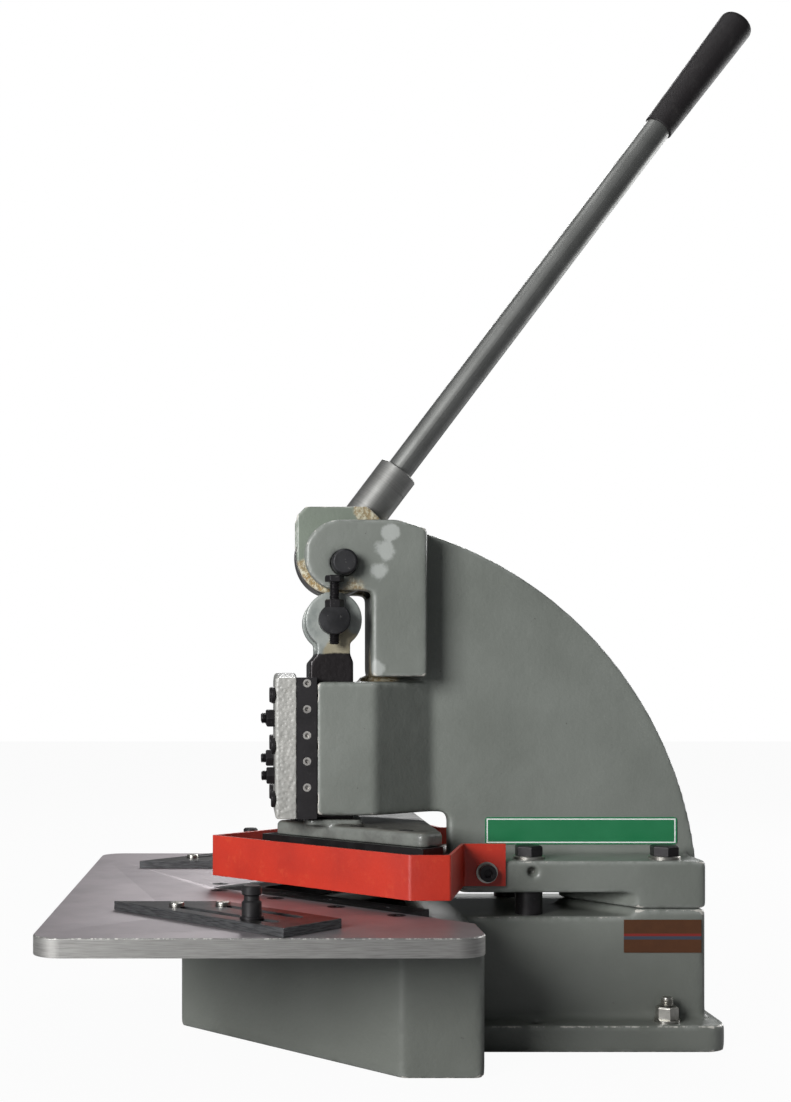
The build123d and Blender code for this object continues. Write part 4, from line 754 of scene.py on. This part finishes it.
fence_steel = Finish("fence_steel", Metallic=0.75)
fence_lines = fence_steel.noise(1, 4, 0.6, place=fence_steel.stretched(90, 90, 1300))
fence_clouds = fence_steel.noise(45, 5, 0.6)
fence_top = fence_steel.ramp(fence_steel.facing("Z"), 0.7, 0.95)
top_share = fence_steel.ramp(fence_clouds, 0.35, 0.7)
side_share = fence_steel.ramp(fence_lines, 0.35, 0.7)
fence_tone = fence_steel.mix(top_share, (0.05, 0.047, 0.048, 1), (0.028, 0.026, 0.027, 1))
fence_side = fence_steel.mix(side_share, (0.15, 0.155, 0.16, 1), (0.06, 0.06, 0.062, 1))
fence_steel.feed(
    Base_Color=fence_steel.mix(fence_top, fence_side, fence_tone),
    Roughness=0.26 + fence_clouds * 0.2,
)
fence_steel.bump(fence_lines + fence_clouds * 0.5, 0.00006)
for side in ("right", "left"):
    plate = eased(f"fence_{side}", f"fence_{side}_plate", 0.0004)
    hand_over(plate, f"fence_{side}", f"fence_{side}", fence_steel)
    dress(f"clamp_washer_{side}", oxide)

knob_black = Finish("knob_black", Metallic=0.4)
knob_clouds = knob_black.noise(90, 4, 0.6)
knob_black.feed(
    Base_Color=knob_black.mix(knob_clouds, (0.012, 0.011, 0.012, 1), (0.035, 0.034, 0.035, 1)),
    Roughness=0.28 + knob_clouds * 0.2,
)
for side in ("right", "left"):
    dress(f"clamp_knob_{side}", knob_black)
dress("fence_screws", zinc)

# ---------------------------------------------------------------- plates
# A green plate with a white border on the web, and a brown plate with two coloured bands on the
# base; both are plain.

label_low, label_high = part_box("label_plate")
label_green = Finish("label_green", Coat_Weight=0.3, Coat_Roughness=0.2)


def inside(finish, low, high, inset):
    """1 inside a rectangle in the YZ plane, inset from its edges."""
    across = finish.axis("Y")
    up = finish.axis("Z")
    between_sides = (across > low.y + inset) * (across < high.y - inset)
    return between_sides * (up > low.z + inset) * (up < high.z - inset)


green_edge = 0.0014
white_line = 0.0012
line_outside = inside(label_green, label_low, label_high, green_edge)
line_inside = inside(label_green, label_low, label_high, green_edge + white_line)
label_clouds = label_green.noise(60, 4)
green = label_green.mix(label_clouds, (0.012, 0.16, 0.06, 1), (0.02, 0.2, 0.08, 1))
label_green.feed(
    Base_Color=label_green.mix(line_outside - line_inside, green, (0.82, 0.85, 0.83, 1)),
    Roughness=0.3 + label_clouds * 0.15,
)
dress("label_plate", label_green)

data_low, data_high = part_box("data_plate")
data_brown = Finish("data_brown", Metallic=0.35)
data_height = data_high.z - data_low.z
level = (data_brown.axis("Z") - data_low.z) * (1 / data_height)
blue_foot, bands_meet, red_top = 0.4, 0.5, 0.58
red_band = (level > bands_meet) * (level < red_top)
blue_band = (level > blue_foot) * (level < bands_meet)
data_clouds = data_brown.noise(70, 5, 0.6)
brown = data_brown.mix(data_clouds, (0.13, 0.05, 0.02, 1), (0.075, 0.03, 0.014, 1))
brown = data_brown.mix(red_band, brown, (0.25, 0.03, 0.025, 1))
data_brown.feed(
    Base_Color=data_brown.mix(blue_band, brown, (0.06, 0.07, 0.1, 1)),
    Roughness=0.35 + data_clouds * 0.15,
)
dress("data_plate", data_brown)
